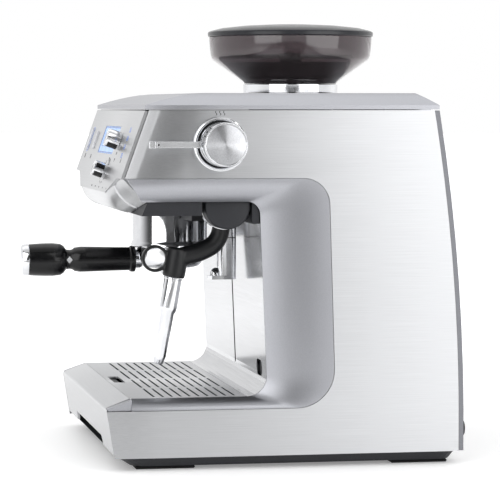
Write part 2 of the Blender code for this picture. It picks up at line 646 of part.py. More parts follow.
# ---- steam --------------------------------------------------------------------------------------
WAND_LEAN = radians(10)
BOSS_R = 0.0114
ARM_PIPE_R = 0.0088
ARM_HUB_R = 0.0165
FINGER_RING_R = (0.0138, 0.0109)        # outside, inside
BOSS = Vector((ARM_X + 0.007, -0.1185, 0.2020))
RING = Vector((ARM_X + 0.007, -0.1396, 0.2065))


def make_steam_controls():
    at = (0.0, STEAM_Y, STEAM_Z)
    turned_piece("steam_valve",
                 [(0.0, 0.1952), (0.0040, 0.1952), (0.0040, 0.1900), (0.0120, 0.1900),
                  (0.0120, 0.1500), (0.0, 0.1500)], "brass", at, "X", 24)
    turned_piece("dial_bezel",
                 [(0.0255, 0.2000), (0.0270, 0.1990), (0.0270, 0.1953), (0.0232, 0.1953),
                  (0.0232, 0.2000)],
                 "chrome", at, "X", 36)
    turned_piece("steam_knob",
                 [(0.0, 0.2302), (0.0195, 0.2302), (0.0210, 0.2310), (0.0220, 0.2296),
                  (0.0225, 0.1960), (0.0210, 0.1955), (0.0, 0.1955)], "chrome", at, "X", 36)
    add_piece("steam_lever", box_mesh("steam_lever", (0.2132, 0.2180), (-0.1570, STEAM_Y - 0.0224),
              (STEAM_Z - 0.0036, STEAM_Z + 0.0036), 0.0010), "chrome")


def make_steam_arm():
    turned_piece("joint_cover",
                 [(0.0, 0.1765), (0.0205, 0.1765), (0.0230, 0.1745), (0.0232, 0.1600),
                  (0.0222, 0.1585), (0.0, 0.1585)], "black_plastic", (0.0, ARM_Y, ARM_Z), "X", 32)
    x = BOSS.x
    path = [(x, ARM_Y, ARM_Z), (x, ARM_Y, 0.2330), (x, ARM_Y - 0.0030, 0.2250), (x, ARM_Y - 0.0110, 0.2175),
            (x, ARM_Y - 0.0270, 0.2125), (x, ARM_Y - 0.0410, 0.2090), (x, BOSS.y, 0.2060)]
    arm = add_piece("steam_arm", tube_mesh("steam_arm", path, ARM_PIPE_R, 3), "black_plastic")
    boss = cylinder_mesh("arm_boss", (0, 0, 0), BOSS_R, 0.0300, steps=24, bevel=0.001)
    boss.transform(Matrix.Translation(BOSS) @ Matrix.Rotation(-WAND_LEAN, 4, "X"))
    cut(arm, boss, "UNION")
    cut(arm, cylinder_mesh("arm_hub", (x, ARM_Y, ARM_Z), ARM_HUB_R, 0.034, "X", 28), "UNION")
    ring = [circle(RING[1:], radius, 28) for radius in FINGER_RING_R]
    cut(arm, outline_mesh("finger_ring", ring, "YZ", x - 0.0045, x + 0.0045), "UNION")
    foot = BOSS + Vector((0.0, -sin(WAND_LEAN), -cos(WAND_LEAN))) * 0.0153
    wand = turned_piece("steam_wand",
                        [(0.0, 0.0), (0.0093, 0.0), (0.0093, -0.0320), (0.0070, -0.0360),
                         (0.0062, -0.0800), (0.0045, -0.0870), (0.0, -0.0880)],
                        "brushed_steel", (0, 0, 0), steps=20)
    wand.matrix_local = Matrix.Translation(foot) @ Matrix.Rotation(-WAND_LEAN, 4, "X")


# ---- drip tray ----------------------------------------------------------------------------------
GRILLE = {"column_x": (-0.132, -0.044, 0.044, 0.132), "slot_length": 0.078, "slot_width": 0.0024,
          "rows": 10, "first_y": -0.1470, "pitch": 0.0090}
TRAY_Y = (-0.1715, -0.0568)
TRAY_FLOOR_Z = 0.0140


def make_tray_front():
    outline = [(-0.1890, 0.0165), (-0.1970, 0.0620, 0.004), (TRAY_SLOPE_Y, 0.0713), (TRAY_SLOPE_Y, 0.0688),
               (-0.1925, 0.0605, 0.002), (-0.1865, 0.0165)]
    width = HALF_WIDTH - SHEET - GAP
    front = add_piece("tray_front", outline_mesh("tray_front", [rounded(outline, 4)], "YZ", -width, width),
                      "brushed_steel")
    notch = [(-0.118, 0.0), (-0.106, 0.026), (0.106, 0.026), (0.118, 0.0)]
    cut(front, outline_mesh("finger_notch", [notch], "XZ", 0.17, 0.21))


def make_drip_tray():
    side = SURROUND_X - 0.001
    front_y, rear_end_y = TRAY_Y
    tray = add_piece("drip_tray", box_mesh("drip_tray", (-side, side), TRAY_Y, (TRAY_FLOOR_Z, 0.0682), 0.002),
                     "black_plastic")
    cut(tray, box_mesh("tray_well", (WALL - side, side - WALL), (front_y + WALL, rear_end_y - WALL),
                       (TRAY_FLOOR_Z + WALL, 0.08)))
    grille = add_piece("grille", box_mesh("grille", (GAP - SURROUND_X, SURROUND_X - GAP),
                       (TRAY_SLOPE_Y + GAP, SPLASH_LIP_Y - GAP), (0.0690, TRAY_Z)), "brushed_steel")
    half_slot = GRILLE["slot_length"] / 2
    rows = [((-0.030, 0.030), (-0.1670, -0.1555), (0.06, 0.08))]
    for x in GRILLE["column_x"]:
        for row in range(GRILLE["rows"]):
            y = GRILLE["first_y"] + GRILLE["pitch"] * row
            rows.append(((x - half_slot, x + half_slot), (y, y + GRILLE["slot_width"]), (0.06, 0.08)))
    cut(grille, joined_boxes("grille_slots", rows))
    float_mesh = box_mesh("tray_float", (-0.027, 0.027), (-0.1645, -0.1580), (0.0300, 0.0685), 0.001)
    add_piece("tray_float", float_mesh, "grey_plastic")


# ---- grinder and hopper -------------------------------------------------------------------------
def make_grinder():
    at = (GRINDER_X, GRINDER_Y, 0.0)
    turned_piece("grinder_housing",
                 [(0.0460, 0.3715), (0.0460, 0.2700), (0.0060, 0.2700), (0.0060, 0.2760),
                  (0.0400, 0.2760), (0.0400, 0.3715)], "cast_aluminium", at, steps=24)
    turned_piece("grinder_motor",
                 [(0.0, 0.2694), (0.0340, 0.2694), (0.0360, 0.2670), (0.0360, 0.1900),
                  (0.0340, 0.1880), (0.0, 0.1880)], "dark_metal", at, steps=20)
    turned_piece("lower_burr",
                 [(0.0, 0.3250), (0.0060, 0.3240), (0.0220, 0.2950), (0.0220, 0.2860),
                  (0.0050, 0.2860), (0.0050, 0.2700), (0.0, 0.2700)], "dark_metal", at, steps=20)
    turned_piece("upper_burr",
                 [(0.0390, 0.3300), (0.0390, 0.3020), (0.0260, 0.3020), (0.0190, 0.3300)],
                 "dark_metal", at, steps=20)
    out = (OUTLET_X, OUTLET_Y, 0.0)
    outlet = turned_piece("grind_outlet",
                          [(0.0355, 0.3000), (0.0355, 0.2170), (0.0345, 0.2150), (0.0300, 0.2150),
                           (0.0300, 0.2960), (0.0060, 0.2960), (0.0060, 0.3000)], "chrome", out, steps=24)
    chute = [(GRINDER_X, GRINDER_Y - 0.0468, 0.2850), (OUTLET_X, OUTLET_Y + 0.0330, 0.2850)]
    cut(outlet, tube_mesh("grind_chute", chute, 0.0090, 3), "UNION")
    turned_piece("tamp_fan",
                 [(0.0, 0.3100), (0.0045, 0.3100), (0.0045, 0.2400), (0.0285, 0.2360),
                  (0.0285, 0.2320), (0.0, 0.2320)], "brushed_steel", out, steps=24)


def make_hopper():
    at = (GRINDER_X, GRINDER_Y, 0.0)
    turned_piece("hopper_collar",
                 [(0.0515, 0.3835), (0.0520, 0.3822), (0.0520, 0.3724), (0.0400, 0.3724),
                  (0.0400, 0.3835)],
                 "chrome", at, steps=32)
    turned_piece("hopper_body",
                 [(0.0895, 0.4347), (0.0890, 0.4300), (0.0845, 0.4125), (0.0520, 0.3870),
                  (0.0510, 0.3838), (0.0200, 0.3838), (0.0200, 0.3865), (0.0500, 0.3895),
                  (0.0820, 0.4140), (0.0865, 0.4347)],
                 "smoked_plastic", at, steps=32)
    turned_piece("hopper_lid",
                 [(0.0, 0.4485), (0.0450, 0.4472), (0.0800, 0.4420), (0.0900, 0.4395),
                  (0.0910, 0.4380), (0.0910, 0.4350), (0.0, 0.4350)], "smoked_plastic", at, steps=32)
    turned_piece("hopper_lock",
                 [(0.0, 0.4180), (0.0100, 0.4170), (0.0120, 0.4120), (0.0125, 0.3920),
                  (0.0180, 0.3880), (0.0180, 0.3720), (0.0, 0.3720)], "black_plastic", at, steps=24)


# ---- boilers, pump and electronics --------------------------------------------------------------
BOILER_WALL = 0.0015
BOILER_PORT_R = 0.004       # open pipe port in the boiler's top
BOILER_DOME = 0.007


def make_boiler(name, radius, floor_z, top_z, at):
    """A drawn steel vessel with rounded ends and an open port at the top."""
    outside = [(BOILER_PORT_R, top_z), (radius - BOILER_DOME, top_z - 0.002), (radius, top_z - BOILER_DOME),
               (radius, floor_z + BOILER_DOME), (radius - BOILER_DOME, floor_z)]
    middle_z = (floor_z + top_z) / 2
    inside = []
    for r, z in outside[::-1]:
        wall = BOILER_WALL if z < middle_z else -BOILER_WALL
        inside.append((max(r - BOILER_WALL, BOILER_PORT_R), z + wall))
    profile = [(0.0, floor_z + BOILER_WALL)] + inside + outside + [(0.0, floor_z)]
    turned_piece(name, profile, "brushed_steel", at, steps=20)


def make_internals():
    make_boiler("brew_boiler", 0.0360, 0.2680, 0.3450, (0.0, -0.0100, 0.0))
    make_boiler("steam_boiler", 0.0460, 0.2100, 0.3400, (0.0880, 0.0480, 0.0))
    turned_piece("water_pump",
                 [(0.0, 0.0350), (0.0100, 0.0350), (0.0100, 0.0250), (0.0200, 0.0230),
                  (0.0200, -0.0300), (0.0, -0.0300)], "dark_metal", (0.0950, 0.0350, 0.0520), "Y", 20)
    board = box_mesh("control_board", (0.1500, 0.1516), (0.0, 0.0900), (0.0900, 0.2000))
    add_piece("control_board", board, "circuit_board")


def build_machine():
    make_side_panels()
    make_bay_surrounds()
    make_splashback()
    make_plinth()
    make_rear()
    make_lid()
    make_control_panel()
    make_dial("select_dial", SELECT_DIAL)
    make_dial("menu_dial", MENU_DIAL)
    make_button("power_button", POWER_BUTTON, "light_grey_plastic")
    make_button("light_button", LIGHT_BUTTON, "light_grey_plastic")
    make_chin()
    make_underside_skirt()
    make_group()
    make_portafilter()
    make_hot_water_spout()
    make_steam_controls()
    make_steam_arm()
    make_tray_front()
    make_drip_tray()
    make_grinder()
    make_hopper()
    make_internals()


build_machine()
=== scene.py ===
from math import atan2, cos, pi, radians, sin, tan

import bmesh
import bpy
from mathutils import Matrix, Vector


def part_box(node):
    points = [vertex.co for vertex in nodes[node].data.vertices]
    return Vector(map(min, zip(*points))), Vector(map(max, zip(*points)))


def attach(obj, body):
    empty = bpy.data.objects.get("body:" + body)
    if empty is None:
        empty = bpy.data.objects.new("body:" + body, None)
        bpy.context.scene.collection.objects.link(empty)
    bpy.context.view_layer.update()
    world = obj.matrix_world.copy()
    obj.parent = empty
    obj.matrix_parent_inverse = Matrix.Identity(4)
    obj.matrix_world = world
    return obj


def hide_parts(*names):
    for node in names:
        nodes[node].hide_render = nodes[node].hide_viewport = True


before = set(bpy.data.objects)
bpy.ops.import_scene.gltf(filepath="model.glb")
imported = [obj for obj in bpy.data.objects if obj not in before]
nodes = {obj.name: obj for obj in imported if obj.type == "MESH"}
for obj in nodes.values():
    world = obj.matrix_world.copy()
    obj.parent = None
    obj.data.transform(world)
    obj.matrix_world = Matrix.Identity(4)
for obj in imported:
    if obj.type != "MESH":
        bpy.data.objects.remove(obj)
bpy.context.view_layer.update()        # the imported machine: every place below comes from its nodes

mm = 0.001
print("frame loaded:", len(nodes), "nodes")

# The machine's own axes: x from its middle plane, y from the middle of the footprint, z from the worktop.
rightLow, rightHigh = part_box("side_panel_right")
leftLow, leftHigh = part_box("side_panel_left")
groupLow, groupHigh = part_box("group_head")
groupDepth = 104 * mm                       # brewing group's axis, in front of the footprint's middle
shift = Vector(((rightHigh.x + leftLow.x) / 2, (groupLow.y + groupHigh.y) / 2 + groupDepth, 0))


def nodeBox(name):
    low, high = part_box(name)
    return low - shift, high - shift


def nodeMiddle(name):
    low, high = nodeBox(name)
    return (low + high) / 2


cabinet = {
    "halfWidth": (rightHigh.x - leftLow.x) / 2,
    "sheet": rightHigh.x - rightLow.x,
    "seamZ": rightHigh.z,
    "baseZ": rightLow.z,
    "gap": 0.3 * mm,
    "headZ": nodeBox("bay_surround_right")[1].z + 0.3 * mm,      # lower edge of the head's side
    "ledgeZ": nodeBox("bay_surround_right")[0].z - 0.3 * mm,     # upper edge of the side below the bay
    "bandZ": nodeBox("splashback")[1].z + 0.5 * mm,              # lower edge of the surround's head member
    "grilleZ": nodeBox("grille")[1].z,
    "rearY": nodeBox("rear_cover")[1].y,
    "rearLean": nodeBox("rear_cover")[1].y - nodeBox("top_cover")[1].y,
    "rearKneeZ": 40 * mm,
    "panelFootY": nodeBox("control_panel")[0].y,
    "panelTilt": radians(19.7),
    "trayRidgeY": nodeBox("tray_front")[0].y,
    "sideFrontY": nodeBox("side_panel_right")[0].y,
    "bayBackY": nodeBox("bay_surround_right")[1].y - 3.2 * mm,
}
panelTopY = cabinet["panelFootY"] + (cabinet["seamZ"] - cabinet["headZ"]) * tan(cabinet["panelTilt"])

# The sides curve in towards the front: by this much at the front edge, over this length.
sideBend = {"headDepth": 8 * mm, "headLength": 62 * mm, "baseDepth": 2.6 * mm, "baseLength": 48 * mm}


# x of a point near the side, moved in where the side curves towards the front.
def bendIn(x, y, z):
    if z > cabinet["grilleZ"] + 60 * mm:
        front = cabinet["panelFootY"] + (min(z, cabinet["seamZ"]) - cabinet["headZ"]) * tan(cabinet["panelTilt"])
        depth, length = sideBend["headDepth"], sideBend["headLength"]
    else:
        front = cabinet["sideFrontY"]
        depth, length = sideBend["baseDepth"], sideBend["baseLength"]
    behind = max(y - front, 0.0)
    if behind >= length:
        return x
    amount = depth * (1 - behind / length) ** 2
    return x - amount if x > 0 else x + amount


# Colours and shader nodes.
# sRGB hex to Blender's linear colour.
def linear(hexColour):
    channels = [int(hexColour[i:i + 2], 16) / 255 for i in (1, 3, 5)]
    return [c / 12.92 if c <= 0.04045 else ((c + 0.055) / 1.055) ** 2.4 for c in channels] + [1.0]


def addNode(tree, kind, settings={}, links={}):
    node = tree.nodes.new("ShaderNode" + kind)
    for name, value in settings.items():
        if isinstance(name, str) and hasattr(node, name):
            setattr(node, name, value)
        else:
            node.inputs[name].default_value = value
    for name, source in links.items():
        tree.links.new(source, node.inputs[name])
    return node


def newMaterial(name, sockets):
    material = bpy.data.materials.new(name)
    material.use_nodes = True
    tree = material.node_tree
    shader = tree.nodes["Principled BSDF"]
    for socket, value in sockets.items():
        shader.inputs[socket].default_value = value
    material.diffuse_color = sockets.get("Base Color", [0.8, 0.8, 0.8, 1.0])
    return material, tree, shader


# Noise whose spots measure size = (x, y, z) in metres.
def noiseAt(tree, size, detail=2.0, roughness=0.5):
    place = addNode(tree, "TexCoord")
    scaled = addNode(tree, "Mapping", {"Scale": [1 / s for s in size]}, {"Vector": place.outputs["Object"]})
    return addNode(tree, "TexNoise", {"Scale": 1.0, "Detail": detail, "Roughness": roughness},
                   {"Vector": scaled.outputs["Vector"]}).outputs["Fac"]


def varyColour(tree, shader, factor, dark, light, low=0.3, high=0.7):
    ramp = addNode(tree, "ValToRGB", {}, {"Fac": factor})
    ramp.color_ramp.elements[0].position = low
    ramp.color_ramp.elements[0].color = linear(dark)
    ramp.color_ramp.elements[1].position = high
    ramp.color_ramp.elements[1].color = linear(light)
    tree.links.new(ramp.outputs["Color"], shader.inputs["Base Color"])


def varyRoughness(tree, shader, factor, low, high):
    spread = addNode(tree, "MapRange", {"To Min": low, "To Max": high}, {"Value": factor})
    tree.links.new(spread.outputs["Result"], shader.inputs["Roughness"])


def addBump(tree, shader, height, distance, strength=0.5):
    bump = addNode(tree, "Bump", {"Strength": strength, "Distance": distance}, {"Height": height})
    tree.links.new(bump.outputs["Normal"], shader.inputs["Normal"])


# Materials, each named for its real finish.
# Stainless sheet brushed one way: fine grain, a highlight drawn out across it.
def brushedStainless(along):
    settings = {"dark": "#BFC0C2", "light": "#C9CACC", "grain": 0.5 * mm, "run": 60 * mm}
    material, tree, shader = newMaterial("brushedStainless" + along,
                                         {"Metallic": 1.0, "Roughness": 0.30, "Anisotropic": 0.7,
                                          "Anisotropic Rotation": 0.25})
    size = [settings["run"] if axis == along else settings["grain"] for axis in "XYZ"]   # real grain is 0.1 mm
    grain = noiseAt(tree, size, 3.0, 0.6)
    varyColour(tree, shader, grain, settings["dark"], settings["light"])
    varyRoughness(tree, shader, grain, 0.29, 0.34)
    addBump(tree, shader, grain, 0.002 * mm, 0.2)
    tangent = addNode(tree, "Tangent", {"direction_type": "RADIAL", "axis": "Z"})
    tree.links.new(tangent.outputs["Tangent"], shader.inputs["Tangent"])
    return material


# Bead-blasted, clear-coated aluminium look: a soft broad sheen and no grain.
def satinSilver():
    material, tree, shader = newMaterial("satinSilver", {"Metallic": 1.0, "Roughness": 0.36})
    speckle = noiseAt(tree, [0.8 * mm] * 3, 2.0)          # real blasting is finer than this
    varyColour(tree, shader, speckle, "#A6A7AC", "#B0B1B6")
    varyRoughness(tree, shader, speckle, 0.33, 0.40)
    return material


# Bright plated metal: a clear mirror, a little wavy from buffing.
def polishedChrome():
    material, tree, shader = newMaterial("polishedChrome", {"Metallic": 1.0, "Roughness": 0.07})
    waves = noiseAt(tree, [14 * mm] * 3, 1.0)
    varyColour(tree, shader, waves, "#DCDDE0", "#E8E9EB")
    varyRoughness(tree, shader, waves, 0.05, 0.11)
    addBump(tree, shader, waves, 0.05 * mm, 0.15)
    return material


# Splashback steel, nearly mirror bright with a faint rolled grain.
def mirrorStainless():
    material, tree, shader = newMaterial("mirrorStainless", {"Metallic": 1.0, "Roughness": 0.16})
    grain = noiseAt(tree, [60 * mm, 1.2 * mm, 1.2 * mm], 2.0)
    varyColour(tree, shader, grain, "#B2B3B6", "#C0C1C4")
    varyRoughness(tree, shader, grain, 0.12, 0.20)
    return material


# Turned dial face: concentric tool marks that spread the highlight into spokes.
def spunSteel(along="X"):
    material, tree, shader = newMaterial("spunSteel", {"Metallic": 1.0, "Roughness": 0.30, "Anisotropic": 0.85,
                                                 "Anisotropic Rotation": 0.25})
    fine = noiseAt(tree, [0.9 * mm] * 3, 2.0)
    varyColour(tree, shader, fine, "#B9BABD", "#D2D3D6")
    tangent = addNode(tree, "Tangent", {"direction_type": "RADIAL", "axis": along})
    tree.links.new(tangent.outputs["Tangent"], shader.inputs["Tangent"])
    return material


# Moulded ABS: a dull sheen broken by the mould's fine texture.
def mouldedPlastic(name, dark, light, roughness, grain=0.7 * mm, height=0.03 * mm):
    material, tree, shader = newMaterial(name, {"Roughness": roughness, "IOR": 1.54, "Specular IOR Level": 0.3})
    spots = noiseAt(tree, [grain] * 3, 2.0)               # real texture is about 0.2 mm
    varyColour(tree, shader, spots, dark, light)
    varyRoughness(tree, shader, spots, roughness - 0.05, roughness + 0.06)
    addBump(tree, shader, spots, height, 0.4)
    return material


# Smoked copolyester: glossy, see-through, darker where it is thick.
def smokedPlastic(name, tint, clear, roughness=0.06):
    material, tree, shader = newMaterial(name, {"Base Color": linear(tint), "Roughness": roughness, "IOR": 1.57,
                                                "Transmission Weight": clear})
    haze = noiseAt(tree, [9 * mm] * 3, 2.0)
    varyRoughness(tree, shader, haze, roughness * 0.7, roughness * 1.5)
    return material


# Backlit glass: an even glow, varied in soft random patches.
def litMaterial(name, dark, light, glow, size):
    material, tree, shader = newMaterial(name, {"Roughness": 0.2, "Specular IOR Level": 0.15, "Emission Strength": glow})
    patches = noiseAt(tree, [size] * 3, 1.0)
    varyColour(tree, shader, patches, dark, light)
    ramp = [n for n in tree.nodes if n.type == "VALTORGB"][0]
    tree.links.new(ramp.outputs["Color"], shader.inputs["Emission Color"])
    return material


# Cast or turned metal inside the machine: dull, with uneven tone.
def dullMetal(name, dark, light, roughness, size):
    material, tree, shader = newMaterial(name, {"Metallic": 1.0, "Roughness": roughness})
    tone = noiseAt(tree, [size] * 3, 3.0)
    varyColour(tree, shader, tone, dark, light)
    varyRoughness(tree, shader, tone, roughness - 0.08, roughness + 0.08)
    return material


steelY = brushedStainless("Y")
steelX = brushedStainless("X")
steelZ = brushedStainless("Z")
satin = satinSilver()
chrome = polishedChrome()
mirrorSteel = mirrorStainless()
spun = spunSteel()
blackAbs = mouldedPlastic("texturedBlackAbs", "#0C0D0F", "#131416", 0.38)
greyAbs = mouldedPlastic("texturedGreyAbs", "#1C1D21", "#292A2E", 0.50)
plinthAbs = mouldedPlastic("plinthAbs", "#1E1F23", "#292A2E", 0.50, 1.2 * mm)
phenolic = mouldedPlastic("glossBlackPhenolic", "#070708", "#0E0E10", 0.20, 6 * mm, 0.02 * mm)
silicone = mouldedPlastic("blackSilicone", "#0D0D0E", "#18181A", 0.75, 0.9 * mm)
rearAbs = mouldedPlastic("paintedGreyAbs", "#74757A", "#7D7E83", 0.46)
smoked = smokedPlastic("smokedCopolyester", "#7A6E72", 0.90)
tankClear = smokedPlastic("greyTankCopolyester", "#8D9298", 0.70, 0.10)
lidSmoked = mouldedPlastic("smokedLidCopolyester", "#232428", "#2A2B2F", 0.24, 12 * mm, 0.02 * mm)
screenGlow = litMaterial("litScreen", "#7FA3D6", "#93B3E0", 0.38, 14 * mm)
blueGlow = litMaterial("blueLightGuide", "#4C72C4", "#6288D2", 0.32, 3 * mm)
screenInk = litMaterial("screenSymbols", "#34589C", "#4468AC", 0.22, 6 * mm)
leverSteel = dullMetal("satinLeverSteel", "#CDCED0", "#D4D5D7", 0.26, 25 * mm)
printInk = mouldedPlastic("greyScreenPrint", "#26272B", "#323337", 0.5)
iron = dullMetal("sinteredSteel", "#56575B", "#6B6C70", 0.42, 3 * mm)
brass = dullMetal("machinedBrass", "#B08A45", "#C79F55", 0.30, 4 * mm)
castAlloy = dullMetal("castAluminium", "#9A9B9E", "#ADAEB1", 0.48, 2 * mm)
circuitBoard = mouldedPlastic("greenSolderMask", "#0F5A2C", "#1A6B38", 0.35, 3 * mm)
pearlButton = mouldedPlastic("pearlButtonPlastic", "#C9CACE", "#D6D7DB", 0.28, 4 * mm)
print("materials made")


# Mesh tools.
# A finished piece in the world's frame, riding on a body.
def newPiece(name, mesh, material, body, replaced=(), bevel=0.0, sharpAngle=30):
    mesh.transform(Matrix.Translation(shift))
    piece = bpy.data.objects.new(name, mesh)
    bpy.context.scene.collection.objects.link(piece)
    mesh.materials.clear()
    mesh.materials.append(material)
    mesh.shade_smooth()
    mesh.set_sharp_from_angle(angle=radians(sharpAngle))
    if bevel:
        softenEdges(piece, bevel)
    if replaced:
        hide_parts(*replaced)
    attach(piece, body)
    return piece


# Fine rounding that catches the light along the sharp edges.
def softenEdges(piece, width, segments=2):
    modifier = piece.modifiers.new("softEdges", "BEVEL")
    modifier.width = width
    modifier.segments = segments
    modifier.limit_method = "ANGLE"
    modifier.angle_limit = radians(32)
    modifier.harden_normals = True


def meshOf(bm, name="shape"):
    bmesh.ops.remove_doubles(bm, verts=bm.verts, dist=0.005 * mm)
    bmesh.ops.recalc_face_normals(bm, faces=bm.faces)
    mesh = bpy.data.meshes.new(name)
    bm.to_mesh(mesh)
    bm.free()
    return mesh


# A flat path whose corners (u, v, radius) become arcs.
def rounded(points, steps=8, closed=True):
    path = []
    count = len(points)
    for index, corner in enumerate(points):
        point = Vector(corner[:2])
        radius = corner[2] if len(corner) > 2 else 0.0
        if radius <= 0 or (not closed and index in (0, count - 1)):
            path.append(point)
            continue
        back = (Vector(points[index - 1][:2]) - point).normalized()
        ahead = (Vector(points[(index + 1) % count][:2]) - point).normalized()
        half = back.angle(ahead) / 2
        centre = point + (back + ahead).normalized() * (radius / sin(half))
        start = point + back * (radius / tan(half)) - centre
        turn = start.angle_signed(point + ahead * (radius / tan(half)) - centre)
        path += [centre + Matrix.Rotation(-turn * step / steps, 2) @ start for step in range(steps + 1)]
    return path


def circle(u, v, radius, steps=48):
    return [Vector((u + radius * cos(2 * pi * i / steps), v + radius * sin(2 * pi * i / steps)))
            for i in range(steps)]


# A rectangle with round ends.
def stadium(u, v, width, height, steps=10):
    radius = min(width, height) / 2 * 0.999
    corners = [(u + a * width / 2, v + b * height / 2, radius) for a, b in ((-1, -1), (1, -1), (1, 1), (-1, 1))]
    return rounded(corners, steps)


# Outline and holes in the XY plane, made solid from low to high with rounded rims.
def flatShape(outlines, low, high, bevel=0.0, bevelSteps=2):
    curve = bpy.data.curves.new("outline", "CURVE")
    curve.dimensions = "2D"
    curve.fill_mode = "BOTH"
    curve.extrude = (high - low) / 2 - bevel
    curve.bevel_depth = bevel
    curve.bevel_resolution = bevelSteps
    curve.offset = -bevel
    for outline in outlines:
        spline = curve.splines.new("POLY")
        spline.points.add(len(outline) - 1)
        for point, place in zip(spline.points, outline):
            point.co = (place[0], place[1], 0.0, 1.0)
        spline.use_cyclic_u = True
    holder = bpy.data.objects.new("outline", curve)
    bpy.context.scene.collection.objects.link(holder)
    mesh = evaluatedMesh(holder)
    mesh.transform(Matrix.Translation((0, 0, (low + high) / 2)))
    bpy.data.objects.remove(holder)
    return mesh


# The object's mesh with its modifiers applied, welded.
def evaluatedMesh(obj):
    bpy.context.view_layer.update()
    mesh = bpy.data.meshes.new_from_object(obj.evaluated_get(bpy.context.evaluated_depsgraph_get()))
    mesh.transform(obj.matrix_world)
    bm = bmesh.new()
    bm.from_mesh(mesh)
    bmesh.ops.remove_doubles(bm, verts=bm.verts, dist=0.005 * mm)
    bmesh.ops.recalc_face_normals(bm, faces=bm.faces)
    bm.to_mesh(mesh)
    bm.free()
    return mesh


# (radius, height) points down the outer side, turned about +Z; radius 0 closes the end.
def turned(profile, steps=64):
    bm = bmesh.new()
    rows = []
    for radius, height in profile:
        if radius < 1e-7:
            rows.append([bm.verts.new((0, 0, height))])
        else:
            rows.append([bm.verts.new((radius * cos(2 * pi * i / steps), radius * sin(2 * pi * i / steps), height))
                         for i in range(steps)])
    pairs = list(zip(rows, rows[1:]))
    if profile[0][0] > 1e-7:
        pairs.append((rows[-1], rows[0]))
    for low, high in pairs:
        for i in range(steps):
            j = (i + 1) % steps
            corner = [low[i % len(low)], low[j % len(low)], high[j % len(high)], high[i % len(high)]]
            unique = list(dict.fromkeys(corner))
            if len(unique) > 2:
                bm.faces.new(unique)
    return meshOf(bm)


# Skin through rings of equal length; the ends are capped.
def loft(rings, closedRings=True, capped=True):
    bm = bmesh.new()
    rows = [[bm.verts.new(p) for p in ring] for ring in rings]
    count = len(rows[0])
    for low, high in zip(rows, rows[1:]):
        for i in range(count if closedRings else count - 1):
            j = (i + 1) % count
            bm.faces.new((low[i], low[j], high[j], high[i]))
    if capped:
        bm.faces.new(rows[0])
        bm.faces.new(rows[-1][::-1])
    return meshOf(bm)


# Catmull-Rom line through the points.
def smoothPath(points, parts=6):
    ends = [points[0] * 2 - points[1]] + points + [points[-1] * 2 - points[-2]]
    path = []
    for a, b, c, d in zip(ends, ends[1:], ends[2:], ends[3:]):
        for step in range(parts):
            t = step / parts
            path.append(((b * 2) + (c - a) * t + (a * 2 - b * 5 + c * 4 - d) * t * t
                         + (b * 3 - a - c * 3 + d) * t ** 3) / 2)
    return path + [points[-1]]


# A bar along a path in a plane of constant x; radius may be a number or a function of the way along.
def tube(path, radius, steps=32, squash=1.0):
    rings = []
    for index, point in enumerate(path):
        ahead = path[min(index + 1, len(path) - 1)] - path[max(index - 1, 0)]
        side = Vector((1, 0, 0))
        up = ahead.normalized().cross(side)
        size = radius(index / (len(path) - 1)) if callable(radius) else radius
        rings.append([point + side * size * squash * cos(2 * pi * i / steps) + up * size * sin(2 * pi * i / steps)
                      for i in range(steps)])
    return loft(rings)


# Several meshes that touch nowhere, as one mesh.
def combined(meshes, name="joined"):
    bm = bmesh.new()
    for mesh in meshes:
        bm.from_mesh(mesh)
    bmesh.ops.recalc_face_normals(bm, faces=bm.faces)
    joined = bpy.data.meshes.new(name)
    bm.to_mesh(joined)
    bm.free()
    return joined


# The mesh with each cutter taken away (or joined on).
def cutOut(mesh, cutters, operation="DIFFERENCE"):
    holder = bpy.data.objects.new("whole", mesh)
    bpy.context.scene.collection.objects.link(holder)
    tools = []
    for index, cutter in enumerate(cutters):
        tool = bpy.data.objects.new("tool", cutter)
        bpy.context.scene.collection.objects.link(tool)
        tools.append(tool)
        modifier = holder.modifiers.new(f"cut{index}", "BOOLEAN")
        modifier.operation = operation
        modifier.solver = "EXACT"
        modifier.object = tool
    result = evaluatedMesh(holder)
    for tool in tools + [holder]:
        bpy.data.objects.remove(tool)
    return result


def block(low, high, bevel=0.0, segments=3):
    bm = bmesh.new()
    middle = (Vector(low) + Vector(high)) / 2
    size = Vector(high) - Vector(low)
    bmesh.ops.create_cube(bm, size=1.0, matrix=Matrix.Translation(middle) @ Matrix.Diagonal((*size, 1.0)))
    if bevel:
        bmesh.ops.bevel(bm, geom=bm.edges[:], offset=bevel, segments=segments, affect="EDGES", profile=0.5)
    return meshOf(bm)


alongX = Matrix.Rotation(pi / 2, 4, "Y")       # local +Z points to +X
acrossX = Matrix(((0, 0, 1, 0), (1, 0, 0, 0), (0, 1, 0, 0), (0, 0, 0, 1)))   # outline (y, z) stands in a YZ plane


# Local +Z along the control panel's normal, local +Y up its face; down is from the seam.
def panelMatrix(x, down, out=0.0):
    tilt = cabinet["panelTilt"]
    y = panelTopY - down * sin(tilt) - out * cos(tilt)
    z = cabinet["seamZ"] - down * cos(tilt) + out * sin(tilt)
    return Matrix.Translation((x, y, z)) @ Matrix.Rotation(pi / 2 - tilt, 4, "X")


# The cabinet's rear: upright low down, then leaning forward along a parabola.
def rearLine(zLow, zHigh, inset=0.0, steps=24):
    line = []
    for step in range(steps + 1):
        z = zLow + (zHigh - zLow) * step / steps
        rise = max(z - cabinet["rearKneeZ"], 0) / (cabinet["seamZ"] - cabinet["rearKneeZ"])
        line.append((cabinet["rearY"] - inset - cabinet["rearLean"] * rise * rise, z))
    return line


